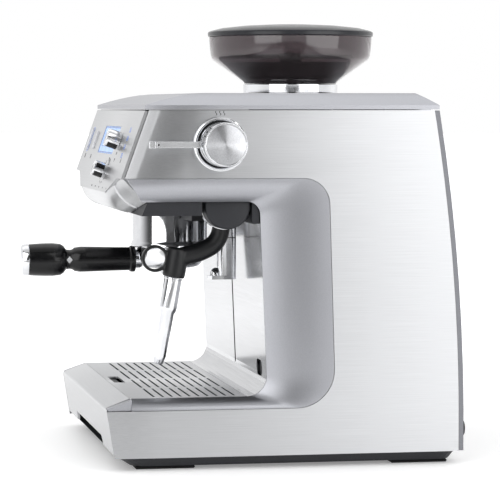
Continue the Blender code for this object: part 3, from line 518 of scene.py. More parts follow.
# Side panels.
sidePanel = {"bayTopRadius": 27 * mm, "bayLowRadius": 38 * mm, "behindPanel": 3.7 * mm, "rearSeam": 5 * mm, "frontLean": 4.9 * mm, "cover": 2.6 * mm,
             "bayLean": 3.5 * mm, "stemHole": 6 * mm, "cutsPerBend": 10, "edge": 0.5 * mm}
steamAxis = nodeMiddle("steam_knob")


def makeSidePanel(name, side):
    c, s = cabinet, sidePanel
    foot, top = c["panelFootY"] + s["behindPanel"], panelTopY + s["behindPanel"]
    outline = [(c["sideFrontY"] + s["frontLean"], c["baseZ"])]
    outline += rearLine(c["baseZ"], c["seamZ"], s["rearSeam"])
    outline += [(top, c["seamZ"]), (foot, c["headZ"]), (c["bayBackY"] - s["bayLean"], c["headZ"], s["bayTopRadius"]),
                (c["bayBackY"] + s["bayLean"], c["ledgeZ"], s["bayLowRadius"]), (c["sideFrontY"] - s["cover"], c["ledgeZ"])]
    shapes = [rounded(outline, 20)]
    if side > 0:
        shapes.append(circle(steamAxis.y, steamAxis.z, s["stemHole"], 24))
    mesh = flatShape(shapes, -c["sheet"], 0.0)
    mesh.transform(Matrix.Translation((c["halfWidth"], 0, 0)) @ acrossX)
    bm = bmesh.new()
    bm.from_mesh(mesh)
    bmesh.ops.triangulate(bm, faces=bm.faces)
    for step in range(1, s["cutsPerBend"] + 1):
        for start, tilt, length, high in ((Vector((0, c["panelFootY"], c["headZ"])), c["panelTilt"],
                                           sideBend["headLength"], True),
                                          (Vector((0, c["sideFrontY"], c["ledgeZ"])), 0.0,
                                           sideBend["baseLength"], False)):
            faces = [f for f in bm.faces if (f.calc_center_median().z > c["grilleZ"] + 60 * mm) == high]
            edges = list({e for f in faces for e in f.edges})
            verts = list({v for f in faces for v in f.verts})
            place = start + Vector((0, length * step / s["cutsPerBend"], 0))
            bmesh.ops.bisect_plane(bm, geom=verts + edges + faces, plane_co=place,
                                   plane_no=(0, cos(tilt), -sin(tilt)), dist=1e-6)
    for vertex in bm.verts:
        vertex.co.x = bendIn(*vertex.co)
        vertex.co.x *= side
    newPiece(name + "_sheet", meshOf(bm), steelY, "cabinet", [name], s["edge"])


makeSidePanel("side_panel_right", 1)
makeSidePanel("side_panel_left", -1)
print("side panels made")


# Bay surrounds: a band that leaves the side panel almost flat and rolls in towards the splashback.
surround = {"lean": 2.2 * mm, "cove": 10.6 * mm, "curve": 2.4, "across": 18, "along": 12, "innerTopRadius": 13 * mm,
            "innerLowRadius": 19.5 * mm, "topY": nodeBox("splashback")[0].y + 13 * mm, "footY": -33.5 * mm,
            "slopeY": -172.2 * mm, "drop": 0.4 * mm}


# A path of five stretches: straight, arc, straight, arc, straight, with fixed point counts.
def memberPath(corners, radii, along):
    front, top, low, end = [Vector(c) for c in corners]
    arcs = []
    for before, corner, after, radius in ((front, top, low, radii[0]), (top, low, end, radii[1])):
        path = rounded([tuple(before), (*corner, radius), tuple(after)], 16, closed=False)
        arcs.append(path[1:-1])
    path = [front.lerp(arcs[0][0], i / along) for i in range(along)] + arcs[0]
    path += [arcs[0][-1].lerp(arcs[1][0], i / along) for i in range(1, along)] + arcs[1]
    return path + [arcs[1][-1].lerp(end, i / along) for i in range(1, along + 1)]


def makeSurround(name, side):
    c, s, g = cabinet, surround, cabinet["gap"]
    outer = memberPath([(c["panelFootY"] + 5.5 * mm, c["headZ"] - g),
                        (c["bayBackY"] - sidePanel["bayLean"] - g, c["headZ"] - g),
                        (c["bayBackY"] + sidePanel["bayLean"] - g, c["ledgeZ"] + g),
                        (c["sideFrontY"] + 22 * mm, c["ledgeZ"] + g)],
                       [sidePanel["bayTopRadius"] - g, sidePanel["bayLowRadius"] - g], s["along"])
    inner = memberPath([(c["panelFootY"] + 21.5 * mm, c["bandZ"]), (s["topY"], c["bandZ"]),
                        (s["footY"], c["grilleZ"]), (s["slopeY"] + 1.5 * mm, c["grilleZ"])],
                       [s["innerTopRadius"], s["innerLowRadius"]], s["along"])
    backX = nodeBox("bay_surround_right")[0].x
    rings = []
    for out, inn in zip(outer, inner):
        ring = []
        for step in range(s["across"] + 1):
            t = step / s["across"]
            y, z = out.lerp(inn, t)
            fall = s["lean"] * t + s["cove"] * t ** s["curve"]
            x = bendIn(c["halfWidth"] - s["drop"], y, z) - fall
            ring.append((max(x, backX + 0.4 * mm) * side, y, z))
        ring.append((backX * side, inn.x, inn.y))
        ring.append((backX * side, out.x, out.y))
        rings.append(ring)
    newPiece(name + "_cove", loft(rings), satin, "cabinet", [name], 0.4 * mm, 50)


makeSurround("bay_surround_right", 1)
makeSurround("bay_surround_left", -1)
print("bay surrounds made")


# Lid.
lid = {"foot": 0.8 * mm, "rim": 5 * mm, "rise": 12 * mm, "sideIn": 21 * mm, "frontIn": 59 * mm, "rearIn": 20 * mm,
       "sideBow": 1.2, "frontBow": 1.6, "rearBow": 1.1, "rings": 12, "wall": 2.5 * mm, "hopperHole": 46.2 * mm}


def makeLid():
    c, p = cabinet, lid
    rearY = nodeBox("top_cover")[1].y
    levels = [(p["foot"], 0.0), (p["rim"], 0.0)]
    levels += [(p["rim"] + p["rise"] * h / p["rings"], h / p["rings"]) for h in range(1, p["rings"] + 1)]
    shares = [(i / 14) ** 1.6 for i in range(15)]
    rings = []
    for rise, share in levels:
        def inset(total, bow):
            return total * (1 - (1 - share) ** (1 / bow))
        x = c["halfWidth"] - inset(p["sideIn"], p["sideBow"])
        front = panelTopY + inset(p["frontIn"], p["frontBow"])
        rear = rearY - inset(p["rearIn"], p["rearBow"])
        z = c["seamZ"] + rise
        right = [Vector((bendIn(x, front + (rear - front) * t, z), front + (rear - front) * t, z)) for t in shares]
        left = [Vector((-v.x, v.y, v.z)) for v in right[::-1]]
        rings.append(right + left)
    mesh = loft(rings, capped=False)
    bm = bmesh.new()
    bm.from_mesh(mesh)
    topEdges = [e for e in bm.edges if e.is_boundary and e.verts[0].co.z > c["seamZ"] + p["rise"]]
    bmesh.ops.contextual_create(bm, geom=topEdges)
    bmesh.ops.recalc_face_normals(bm, faces=bm.faces)
    bm.to_mesh(mesh)
    bm.free()
    holder = bpy.data.objects.new("lid", mesh)
    bpy.context.scene.collection.objects.link(holder)
    skin = holder.modifiers.new("skin", "SOLIDIFY")
    skin.thickness = p["wall"]
    skin.offset = -1.0
    skin.use_even_offset = True
    shell = evaluatedMesh(holder)
    bpy.data.objects.remove(holder)
    hopper = nodeMiddle("hopper_collar")
    hole = turned([(0, 0.39), (p["hopperHole"], 0.39), (p["hopperHole"], 0.34), (0, 0.34)], 72)
    hole.transform(Matrix.Translation((hopper.x, hopper.y, 0)))
    tankLow, tankHigh = nodeBox("tank_lid")
    trayLow, trayHigh = nodeBox("cup_tray")
    g = c["gap"]
    notch = block((tankLow.x - g, tankLow.y - g, 0.34), (tankHigh.x + g, tankHigh.y + 0.05, 0.39))
    opening = block((trayLow.x - g, trayLow.y - g, 0.36), (trayHigh.x + g, trayHigh.y + g, 0.39))
    newPiece("top_cover_shell", cutOut(shell, [hole, notch, opening]), satin, "cabinet", ["top_cover"], 0.5 * mm, 24)


makeLid()
print("lid made")


# Control panel: the sloping face, its lit screen, printed symbols, dials and buttons.
panelFace = {"down": (cabinet["seamZ"] - cabinet["headZ"]) / cos(cabinet["panelTilt"]), "tongue": 88 * mm,
             "cornerX": 156 * mm, "tongueX": 104 * mm, "skin": 3 * mm, "edge": 0.9 * mm, "shaft": 4.5 * mm,
             "print": 0.12 * mm, "halfWidth": cabinet["halfWidth"] - sideBend["headDepth"] - 0.2 * mm}


# Where a node sits on the panel: x, and the way down from the seam.
def panelPlace(name):
    middle = nodeMiddle(name)
    tilt = cabinet["panelTilt"]
    return middle.x, (Vector((0, panelTopY, cabinet["seamZ"])) - middle).dot(Vector((0, sin(tilt), cos(tilt))))


def panelPiece(name, mesh, material, body, replaced=(), bevel=0.0, at=(0.0, 0.0)):
    mesh.transform(panelMatrix(*at))
    return newPiece(name, mesh, material, body, replaced, bevel)


screen = {"width": 118 * mm, "height": 30 * mm, "border": 1.1 * mm, "tile": 15 * mm, "tileGap": 5 * mm}
pills = {"power_button": (6.5 * mm, 25 * mm), "light_button": (6.0 * mm, 20 * mm)}


def rectangle(u, v, width, height, radius=1.0 * mm):
    return rounded([(u + a * width / 2, v + b * height / 2, radius) for a, b in ((-1, -1), (1, -1), (1, 1), (-1, 1))],
                   4)


def makePanel():
    p = panelFace
    corners = [(-p["halfWidth"], -cabinet["gap"]), (-p["halfWidth"], -p["down"]), (-p["cornerX"], -p["down"], 2 * mm),
               (-p["tongueX"], -p["tongue"], 3 * mm)]
    outline = rounded(corners + [(-c[0], *c[1:]) for c in corners[::-1]], 6)
    x, down = panelPlace("display")
    holes = [rectangle(x, -down, screen["width"], screen["height"])]
    for name, (width, height) in pills.items():
        x, down = panelPlace(name)
        holes.append(stadium(x, -down, width + 2 * cabinet["gap"], height + 2 * cabinet["gap"]))
    for name in ("select_dial", "menu_dial"):
        x, down = panelPlace(name)
        holes.append(circle(x, -down, p["shaft"], 24))
    panelPiece("control_panel_face", flatShape([outline] + holes, -p["skin"], 0.0), steelX, "cabinet",
               ["control_panel"], p["edge"])


def drop(u, v, size):
    return [Vector((u + size * 0.62 * sin(a) * sin(a / 2) ** 1.5, v + size * cos(a)))
            for a in [2 * pi * i / 28 for i in range(28)]]


def cup(u, v, size):
    bowl = rounded([(u - size * 0.7, v + size * 0.5), (u - size * 0.45, v - size * 0.5, size * 0.25),
                    (u + size * 0.35, v - size * 0.5, size * 0.25), (u + size * 0.6, v + size * 0.5)], 4)
    return [bowl, circle(u + size * 0.75, v + size * 0.1, size * 0.34, 16),
            circle(u + size * 0.75, v + size * 0.1, size * 0.2, 12),
            stadium(u, v - size * 0.85, size * 1.7, size * 0.2, 4)]


def ring(u, v, radius, width):
    return [circle(u, v, radius, 24), circle(u, v, radius - width, 24)]


# Printed marks: small symbols under the buttons and screen, and ticks round the lower dial.
def makePrint():
    x, down = panelPlace("menu_dial")
    marks = []
    for step in range(-3, 4):
        angle = radians(step * 24)
        marks.append(stadium(x + 19 * mm * sin(angle), -down - 12.5 * mm * cos(angle), 1.0 * mm, 1.9 * mm, 4))
    marks += [stadium(x - 58 * mm + 29 * mm * i, -84 * mm, 6 * mm - i * mm, 1.5 * mm, 4) for i in range(5)]
    marks += [stadium(x - 15 * mm, -58.5 * mm, 13 * mm, 0.9 * mm, 4), stadium(x - 9 * mm, -57 * mm, 0.9 * mm, 4 * mm, 4)]
    house = [(-4, -3), (4, -3), (4, 1.4), (0, 4.4), (-4, 1.4)]
    for scale in (1.0, 0.7):
        marks.append([Vector((x + 14 * mm + u * scale * mm, -57 * mm + w * scale * mm)) for u, w in house])
    for name, size in (("power_button", 2.6 * mm), ("light_button", 2.4 * mm)):
        u, way = panelPlace(name)
        marks += ring(u, -53.5 * mm, size, 0.8 * mm)
    marks += cup(52 * mm, -53 * mm, 2.6 * mm)
    marks += cup(92 * mm, -53 * mm, 2.4 * mm)
    marks += ring(92 * mm, -46.5 * mm, 1.6 * mm, 0.6 * mm)
    marks += [drop(140 * mm, -53 * mm, 2.8 * mm)]
    panelPiece("printed_marks", flatShape(marks, 0.0, panelFace["print"]), printInk, "cabinet")
    lit = []
    for index in range(4):
        place = -(21 + index * 9) * mm
        lit += ring(136 * mm, place, 2.7 * mm, 0.7 * mm) if index % 2 else [drop(136 * mm, place, 3.0 * mm)]
        lit.append(stadium(130.5 * mm, place, 0.7 * mm, 5.5 * mm, 4))
    for name, (width, height) in pills.items():
        u, way = panelPlace(name)
        if name == "power_button":
            lit += [stadium(u, -way, width + 3.6 * mm, height + 3.6 * mm), stadium(u, -way, width + 2 * mm, height + 2 * mm)]
    panelPiece("lit_marks", flatShape(lit, 0.0, panelFace["print"]), blueGlow, "cabinet")


def makeScreen():
    x, down = panelPlace("display")
    width, height = screen["width"] - 0.6 * mm, screen["height"] - 0.6 * mm
    glass = flatShape([rectangle(x, -down, width, height)], -4.2 * mm, -0.3 * mm)
    panelPiece("screen_glass_plate", glass, screenGlow, "cabinet", ["display"], 0.3 * mm)
    border = [rectangle(x, -down, width - mm, height - mm), rectangle(x, -down, width - mm - 2 * screen["border"],
                                                                     height - mm - 2 * screen["border"])]
    pitch = screen["tile"] + screen["tileGap"]
    for index in range(5):
        u = x + (index - 2) * pitch
        border += [rectangle(u, -down, screen["tile"], screen["tile"], 2 * mm),
                   rectangle(u, -down, screen["tile"] - 1.4 * mm, screen["tile"] - 1.4 * mm, 1.5 * mm)]
        border += cup(u, -down, 3.2 * mm) if index % 2 else [drop(u, -down, 4 * mm)]
    panelPiece("screen_symbols", flatShape(border, -0.3 * mm, -0.2 * mm), screenInk, "cabinet")


dials = {"select_dial": {"reach": 14.5 * mm, "insets": ((-100, -28), (80, 152), (190, 235))},
         "menu_dial": {"reach": 12.5 * mm, "insets": ((-95, -22), (8, 48), (85, 158), (188, 228))}}
dialShape = {"rim": 1.2 * mm, "dish": 0.5 * mm, "base": 0.8 * mm, "shaft": 3.8 * mm, "proud": 0.12 * mm,
             "sunk": 0.8 * mm, "insetLow": 0.12, "insetHigh": 0.86}


def makeDial(name):
    d, reach = dialShape, dials[name]["reach"]
    low, high = nodeBox(name)
    radius = (high.x - low.x) / 2
    body = turned([(0, reach - d["dish"]), (radius - 1.8 * mm, reach - d["dish"]), (radius - d["rim"], reach),
                   (radius - 0.4 * mm, reach), (radius, reach - 0.4 * mm), (radius, d["base"]),
                   (d["shaft"], d["base"]), (d["shaft"], -panelFace["skin"]), (0, -panelFace["skin"])], 60)
    panelPiece(name + "_knob", body, chrome, name, [name], 0.15 * mm, panelPlace(name))
    for index, (start, end) in enumerate(dials[name]["insets"]):
        turns = [radians(start + (end - start) * i / 12) for i in range(13)]
        outer = [Vector((cos(t), sin(t))) * (radius + d["proud"]) for t in turns]
        inner = [Vector((cos(t), sin(t))) * (radius - d["sunk"]) for t in turns[::-1]]
        inset = flatShape([outer + inner], reach * d["insetLow"], reach * d["insetHigh"])
        panelPiece(f"{name}_inset_{index + 1}", inset, phenolic, name, (), 0.12 * mm, panelPlace(name))


def makePills():
    for name, (width, height) in pills.items():
        pill = flatShape([stadium(0, 0, width, height)], -4.2 * mm, 1.8 * mm)
        panelPiece(name + "_pill", pill, pearlButton, name, [name], 0.7 * mm, panelPlace(name))


makePanel()
makePrint()
makeScreen()
for dialName in dials:
    makeDial(dialName)
makePills()
print("control panel made")

# Chin: the bright underside of the panel, creased at its sides, with a shadow groove on each cheek.
chin = {"flatX": 100 * mm, "creaseX": 112 * mm, "grooveX": (131 * mm, 141 * mm), "grooveDepth": 1.6 * mm,
        "endX": 178.5 * mm, "bulge": 6 * mm, "points": 12, "wall": 2 * mm, "footY": -159.3 * mm, "footZ": 251.0 * mm,
        "endY": -154.2 * mm, "endZ": 264.3 * mm, "behind": 0.3 * mm}


def chinSection(x):
    c, p = chin, panelFace
    run = min(max((x - p["tongueX"]) / (p["cornerX"] - p["tongueX"]), 0.0), 1.0)
    down = p["tongue"] + (p["down"] - p["tongue"]) * run - 0.4 * mm
    top = panelMatrix(x, down, -c["behind"] - p["skin"] * min(1.0, run + 0.1)).translation
    share = min(max((x - c["flatX"]) / (c["endX"] - c["flatX"]), 0.0), 1.0)
    foot = Vector((x, c["footY"], c["footZ"])).lerp(Vector((x, c["endY"], c["endZ"])), share)
    inGroove = c["grooveX"][0] < x < c["grooveX"][1]
    outward = Vector((0, -0.66, -0.75))
    section = []
    for step in range(c["points"] + 1):
        t = step / c["points"]
        lift = c["bulge"] * (1 - 0.85 * share) * 4 * t * (1 - t) - (c["grooveDepth"] if inGroove else 0.0)
        section.append(top.lerp(foot, t) + outward * lift)
    return section + [point - outward * (c["wall"] + 2 * mm) for point in section[::-1]]


def makeChin():
    low, high = chin["grooveX"]
    half = [0.0, chin["flatX"] / 2, chin["flatX"], chin["creaseX"], low, low + 0.8 * mm, high - 0.8 * mm, high,
            156 * mm, 168 * mm, chin["endX"]]
    rings = []
    for x in [-v for v in half[:0:-1]] + half:
        rings.append([Vector((x, point.y, point.z)) for point in chinSection(abs(x))])
    newPiece("chin_casting", loft(rings), steelX, "cabinet", ["chin"], 0.3 * mm, 22)


makeChin()
print("chin made")

# Brewing group and portafilter.
group = {"radius": 39.5 * mm, "lip": 1.4 * mm, "steps": 96}
brewAxis = Matrix.Translation((0, -groupDepth, 0))


def turnedPiece(name, profile, matrix, material, body, replaced=(), steps=72, bevel=0.0):
    mesh = turned(profile, steps)
    mesh.transform(matrix)
    return newPiece(name, mesh, material, body, replaced, bevel)


def makeGroup():
    low, high = nodeBox("group_head")
    r, z = group["radius"], low.z
    turnedPiece("group_head_casting",
                [(0, high.z), (r - 6 * mm, high.z), (r, high.z - 6 * mm), (r, z + 7 * mm), (r + 0.5 * mm, z + 5 * mm),
                 (r + group["lip"], z + 3.4 * mm), (r + group["lip"], z + 0.8 * mm), (r + 0.6 * mm, z),
                 (31.4 * mm, z), (31.2 * mm, z + 0.5 * mm), (31.2 * mm, z + 18.8 * mm), (0, z + 18.8 * mm)],
                brewAxis, chrome, "cabinet", ["group_head"], group["steps"], 0.3 * mm)


filterHolder = {"bowl": 35 * mm, "rim": 30.6 * mm, "wall": 1.5 * mm, "spoutSpread": 12 * mm, "spoutBore": 4.6 * mm,
                "neck": 9.2 * mm, "earWidth": 8 * mm}


def makeFilterHolder():
    f = filterHolder
    low, high = nodeBox("portafilter_body")
    z = low.z
    bowl = turned([(f["rim"], high.z), (f["rim"], z + 24.7 * mm), (f["bowl"] - 0.6 * mm, z + 24.7 * mm),
                   (f["bowl"], z + 24.1 * mm), (f["bowl"], z + 13 * mm), (f["bowl"] - 1.2 * mm, z + 8.4 * mm),
                   (f["bowl"] - 4.4 * mm, z + 5 * mm), (f["bowl"] - 10 * mm, z + 3.2 * mm), (15.2 * mm, z + 2.6 * mm),
                   (14.4 * mm, z), (4 * mm, z), (4 * mm, z + 4 * mm), (27 * mm, z + 7 * mm), (28.4 * mm, z + 10 * mm),
                   (28.5 * mm, high.z)], 96)
    bowl.transform(brewAxis)
    handleZ = nodeMiddle("portafilter_handle").z
    neck = turned([(0, 0), (f["neck"], 0), (f["neck"] + 0.8 * mm, 2 * mm), (f["neck"] + 0.8 * mm, 6.6 * mm), (0, 6.6 * mm)], 48)
    neck.transform(Matrix.Translation((0, -groupDepth - 30.3 * mm, handleZ)) @ Matrix.Rotation(pi / 2, 4, "X"))
    newPiece("portafilter_bowl", cutOut(bowl, [neck], "UNION"), chrome, "portafilter", ["portafilter_body"], 0.25 * mm)
    spoutLow, spoutHigh = nodeBox("portafilter_spout")
    top = spoutHigh.z
    shapes = []
    for side in (-1, 1):
        path = smoothPath([Vector((side * x * mm, -groupDepth, top - d * mm))
                           for x, d in ((1.5, 0.2), (5.5, 2.0), (10.5, 4.0), (13.2, 7.6))], 5)
        rings = []
        for index, point in enumerate(path):
            ahead = (path[min(index + 1, len(path) - 1)] - path[max(index - 1, 0)]).normalized()
            across = Vector((0, 1, 0))
            up = ahead.cross(across)
            size = f["spoutBore"] * (1 - 0.12 * index / len(path))
            rings.append([point + across * size * cos(2 * pi * i / 24) + up * size * sin(2 * pi * i / 24)
                          for i in range(24)])
        shapes.append(loft(rings))
    hub = turned([(0, top), (11 * mm, top), (9 * mm, top - 3 * mm), (6 * mm, top - 5 * mm), (0, top - 5.4 * mm)], 48)
    hub.transform(brewAxis)
    ceiling = block((-0.03, -groupDepth - 0.03, top), (0.03, -groupDepth + 0.03, top + 0.02))
    spout = cutOut(cutOut(hub, shapes, "UNION"), [ceiling])
    newPiece("portafilter_twin_spout", spout, chrome, "portafilter", ["portafilter_spout"], 0.0, 40)


handle = {"grip": 12.2 * mm, "waist": 10 * mm, "knob": 17.3 * mm, "waistDiamond": 3.2 * mm}


def makeHandle():
    h = handle
    low, high = nodeBox("portafilter_handle")
    start, end = -high.y - groupDepth, -low.y - groupDepth
    along = Matrix.Translation((0, -groupDepth, nodeMiddle("portafilter_handle").z)) @ Matrix.Rotation(pi / 2, 4, "X")
    length = end - start
    shape = [(h["grip"] + 1.4 * mm, 0.002), (h["grip"] + 1.8 * mm, 0.02), (h["grip"] + 1.4 * mm, 0.045),
             (h["grip"], 0.055), (h["grip"] + 0.2 * mm, 0.20), (h["grip"] + 1.0 * mm, 0.45), (h["grip"] + 1.1 * mm, 0.52),
             (h["grip"] + 0.2 * mm, 0.57), (h["waist"] + 0.4 * mm, 0.595), (h["waist"], 0.62), (h["waist"] + 0.5 * mm, 0.65),
             (h["knob"] - 3 * mm, 0.675), (h["knob"] - 0.9 * mm, 0.705), (h["knob"], 0.78), (h["knob"] - 0.1 * mm, 0.86),
             (h["knob"] - 0.6 * mm, 0.95), (h["knob"] - 1.0 * mm, 0.998)]
    profile = [(0, start)] + [(r, start + length * t) for r, t in shape] + [(0, end)]
    turnedPiece("portafilter_grip", profile, along, phenolic, "portafilter", ["portafilter_handle"], 72, 0.3 * mm)
    capLow, capHigh = nodeBox("handle_cap")
    capStart, capEnd = -capHigh.y - groupDepth, -capLow.y - groupDepth
    r = h["knob"] - 1.0 * mm
    turnedPiece("portafilter_end_cap",
                [(0, capStart), (r, capStart), (r + 0.3 * mm, capStart + 0.6 * mm), (r, capStart + 4.6 * mm),
                 (r - 1.0 * mm, capEnd - 1.6 * mm), (r - 3.4 * mm, capEnd - 0.5 * mm), (r - 6 * mm, capEnd),
                 (0, capEnd - 0.4 * mm)], along, chrome, "portafilter", ["handle_cap"], 72, 0.2 * mm)
    # A small chrome diamond on the handle's waist, on the side towards +X.
    middleY = -groupDepth - start - length * 0.625
    diamond = [Vector((middleY + u * h["waistDiamond"], nodeMiddle("portafilter_handle").z + v * h["waistDiamond"] * 1.2))
               for u, v in ((-1, 0), (0, -1), (1, 0), (0, 1))]
    waistDiamond = flatShape([diamond], h["waist"] - 1.0 * mm, h["waist"] + 0.7 * mm)
    waistDiamond.transform(acrossX)
    newPiece("handle_waist_diamond", waistDiamond, chrome, "portafilter", (), 0.2 * mm)


makeGroup()
makeFilterHolder()
makeHandle()
print("group and portafilter made")

# Hot water spout: a chrome column with a foot that reaches forward.
waterSpout = {"width": 13 * mm, "bodyLength": 20 * mm, "neckLength": 22.4 * mm, "jointDown": 19 * mm,
              "groove": 0.9 * mm, "footHeight": 4 * mm, "dome": 8 * mm, "domeRadius": 6 * mm}


def makeWaterSpout():
    w = waterSpout
    low, high = nodeBox("hot_water_spout")
    x, joint, footTop = (low.x + high.x) / 2, high.z - w["jointDown"], low.z + w["footHeight"]
    for name, width, length, start, end in (
            ("neck", w["width"] + mm, w["neckLength"], joint + w["groove"] / 2, high.z),
            ("seal", w["width"] - mm, w["bodyLength"] - mm, joint - w["groove"] / 2, joint + w["groove"] / 2),
            ("body", w["width"], w["bodyLength"], footTop, joint - w["groove"] / 2),
            ("foot", w["width"], high.y - low.y, low.z, footTop - 0.05 * mm)):
        mesh = flatShape([stadium(x, high.y - length / 2, width, length)], start, end)
        replaced = ["hot_water_spout"] if name == "body" else ()
        newPiece("water_spout_" + name, mesh, blackAbs if name == "seal" else chrome, "cabinet", replaced,
                 1.2 * mm if name == "foot" else 0.15 * mm)
    bead = []
    for step in range(9):
        angle = pi / 2 * step / 8
        bead.append((w["domeRadius"] * sin(angle), footTop + w["dome"] * cos(angle)))
    bead.append((0, footTop))
    turnedPiece("water_spout_valve", bead, Matrix.Translation((x, low.y + 8.5 * mm, 0)), chrome, "cabinet", (), 48)


makeWaterSpout()

# Steam dial, lever and arm.
steamDial = {"faceRadius": 21.2 * mm, "skirt": 22.4 * mm, "bezelIn": 23.4 * mm, "bezelOut": 27 * mm, "marks": 3}


def aboutX(y, z):
    return Matrix.Translation((0, y, z)) @ alongX


def makeSteamDial():
    d = steamDial
    low, high = nodeBox("steam_knob")
    at = aboutX(steamAxis.y, steamAxis.z)
    face = high.x
    turnedPiece("steam_knob_body",
                [(0, face - 2 * mm), (d["faceRadius"] - 1.6 * mm, face - 2 * mm), (d["faceRadius"] - 1.6 * mm, face - 0.3 * mm),
                 (d["faceRadius"] - 1.2 * mm, face), (d["faceRadius"] - 0.3 * mm, face), (d["faceRadius"] + 0.4 * mm, face - 0.8 * mm),
                 (d["skirt"], low.x + 0.6 * mm), (d["skirt"] - 0.8 * mm, low.x), (0, low.x)],
                at, chrome, "steam_control", ["steam_knob"], 96, 0.2 * mm)
    turnedPiece("steam_knob_face",
                [(0, face - 0.7 * mm), (d["faceRadius"] - 2.4 * mm, face - 0.5 * mm), (d["faceRadius"] - 1.8 * mm, face - 0.7 * mm),
                 (d["faceRadius"] - 1.8 * mm, face - 1.9 * mm), (0, face - 1.9 * mm)], at, spun, "steam_control", (), 96)
    bezelLow, bezelHigh = nodeBox("dial_bezel")
    a, b = d["bezelIn"], d["bezelOut"]
    rimZ = bezelHigh.x
    turnedPiece("dial_bezel_ring", [(a, rimZ - 0.8 * mm), (a + 0.8 * mm, rimZ), (b - 1.6 * mm, rimZ), (b - 0.4 * mm, rimZ - 0.9 * mm),
                                    (b, rimZ - 2.2 * mm), (b, bezelLow.x), (a, bezelLow.x)], at, chrome, "cabinet",
                ["dial_bezel"], 96, 0.2 * mm)
    turnedPiece("dial_shadow_ring", [(a - 0.1 * mm, bezelLow.x + 1.0 * mm), (a - 0.1 * mm, bezelLow.x), (14 * mm, bezelLow.x),
                                     (14 * mm, bezelLow.x + 0.4 * mm)], at, blackAbs, "cabinet", (), 72)
    ticks = []
    for index in range(d["marks"]):
        angle = radians(132 + 13 * index)
        tick = block((face - 10 * mm, d["skirt"] - 0.7 * mm, -0.6 * mm), (face - 5 * mm, d["skirt"] - 0.1 * mm, 0.6 * mm))
        tick.transform(Matrix.Translation((0, steamAxis.y, steamAxis.z)) @ Matrix.Rotation(angle, 4, "X"))
        ticks.append(tick)
    newPiece("knob_marks", combined(ticks), printInk, "steam_control")


lever = {"tip": 7 * mm, "screw": 0.9 * mm}


def makeLever():
    low, high = nodeBox("steam_lever")
    tipY = low.y + lever["tip"]
    bar = block((low.x + 0.4 * mm, tipY, low.z + 0.3 * mm), (high.x - 0.4 * mm, high.y, high.z - 0.3 * mm))
    newPiece("steam_lever_bar", bar, leverSteel, "steam_control", ["steam_lever"], 0.8 * mm)
    tip = block((low.x, low.y, low.z), (high.x, tipY - 0.2 * mm, high.z))
    newPiece("steam_lever_tip", tip, leverSteel, "steam_control", (), 0.9 * mm)
    middle = (low.z + high.z) / 2
    turnedPiece("lever_screw", [(0, high.x - 0.1 * mm), (lever["screw"], high.x - 0.1 * mm), (lever["screw"], high.x - 2 * mm),
                                (0, high.x - 2 * mm)], aboutX(tipY + 2.2 * mm, middle), blackAbs, "steam_control", (), 24)


# A plain symbol for steam above the dial: three rising waves.
def makeSteamSymbol():
    waves = []
    for index in range(3):
        centre = steamAxis.y - 4 * mm + 4 * mm * index
        line = [Vector((centre + 0.7 * mm * sin(2 * pi * s / 12), steamAxis.z + 28.5 * mm + 4.4 * mm * s / 12)) for s in range(13)]
        waves.append([v + Vector((0.4 * mm, 0)) for v in line] + [v - Vector((0.4 * mm, 0)) for v in line[::-1]])
    mesh = flatShape(waves, cabinet["halfWidth"], cabinet["halfWidth"] + 0.1 * mm)
    mesh.transform(acrossX)
    newPiece("steam_symbol", mesh, printInk, "cabinet")


steamArm = {"pipe": 8.8 * mm, "boss": 11.4 * mm, "ringOut": 13.6 * mm, "ringIn": 10.6 * mm, "lean": radians(10),
            "voxel": 0.8 * mm, "wandLength": 88 * mm}
hub = {"y": nodeMiddle("joint_cover").y, "z": nodeMiddle("joint_cover").z}
wandX = nodeMiddle("steam_wand").x
bossAt = Vector((wandX, hub["y"] - 46 * mm, hub["z"] - 58 * mm))
ringAt = Vector((wandX, hub["y"] - 67.1 * mm, hub["z"] - 53.5 * mm))


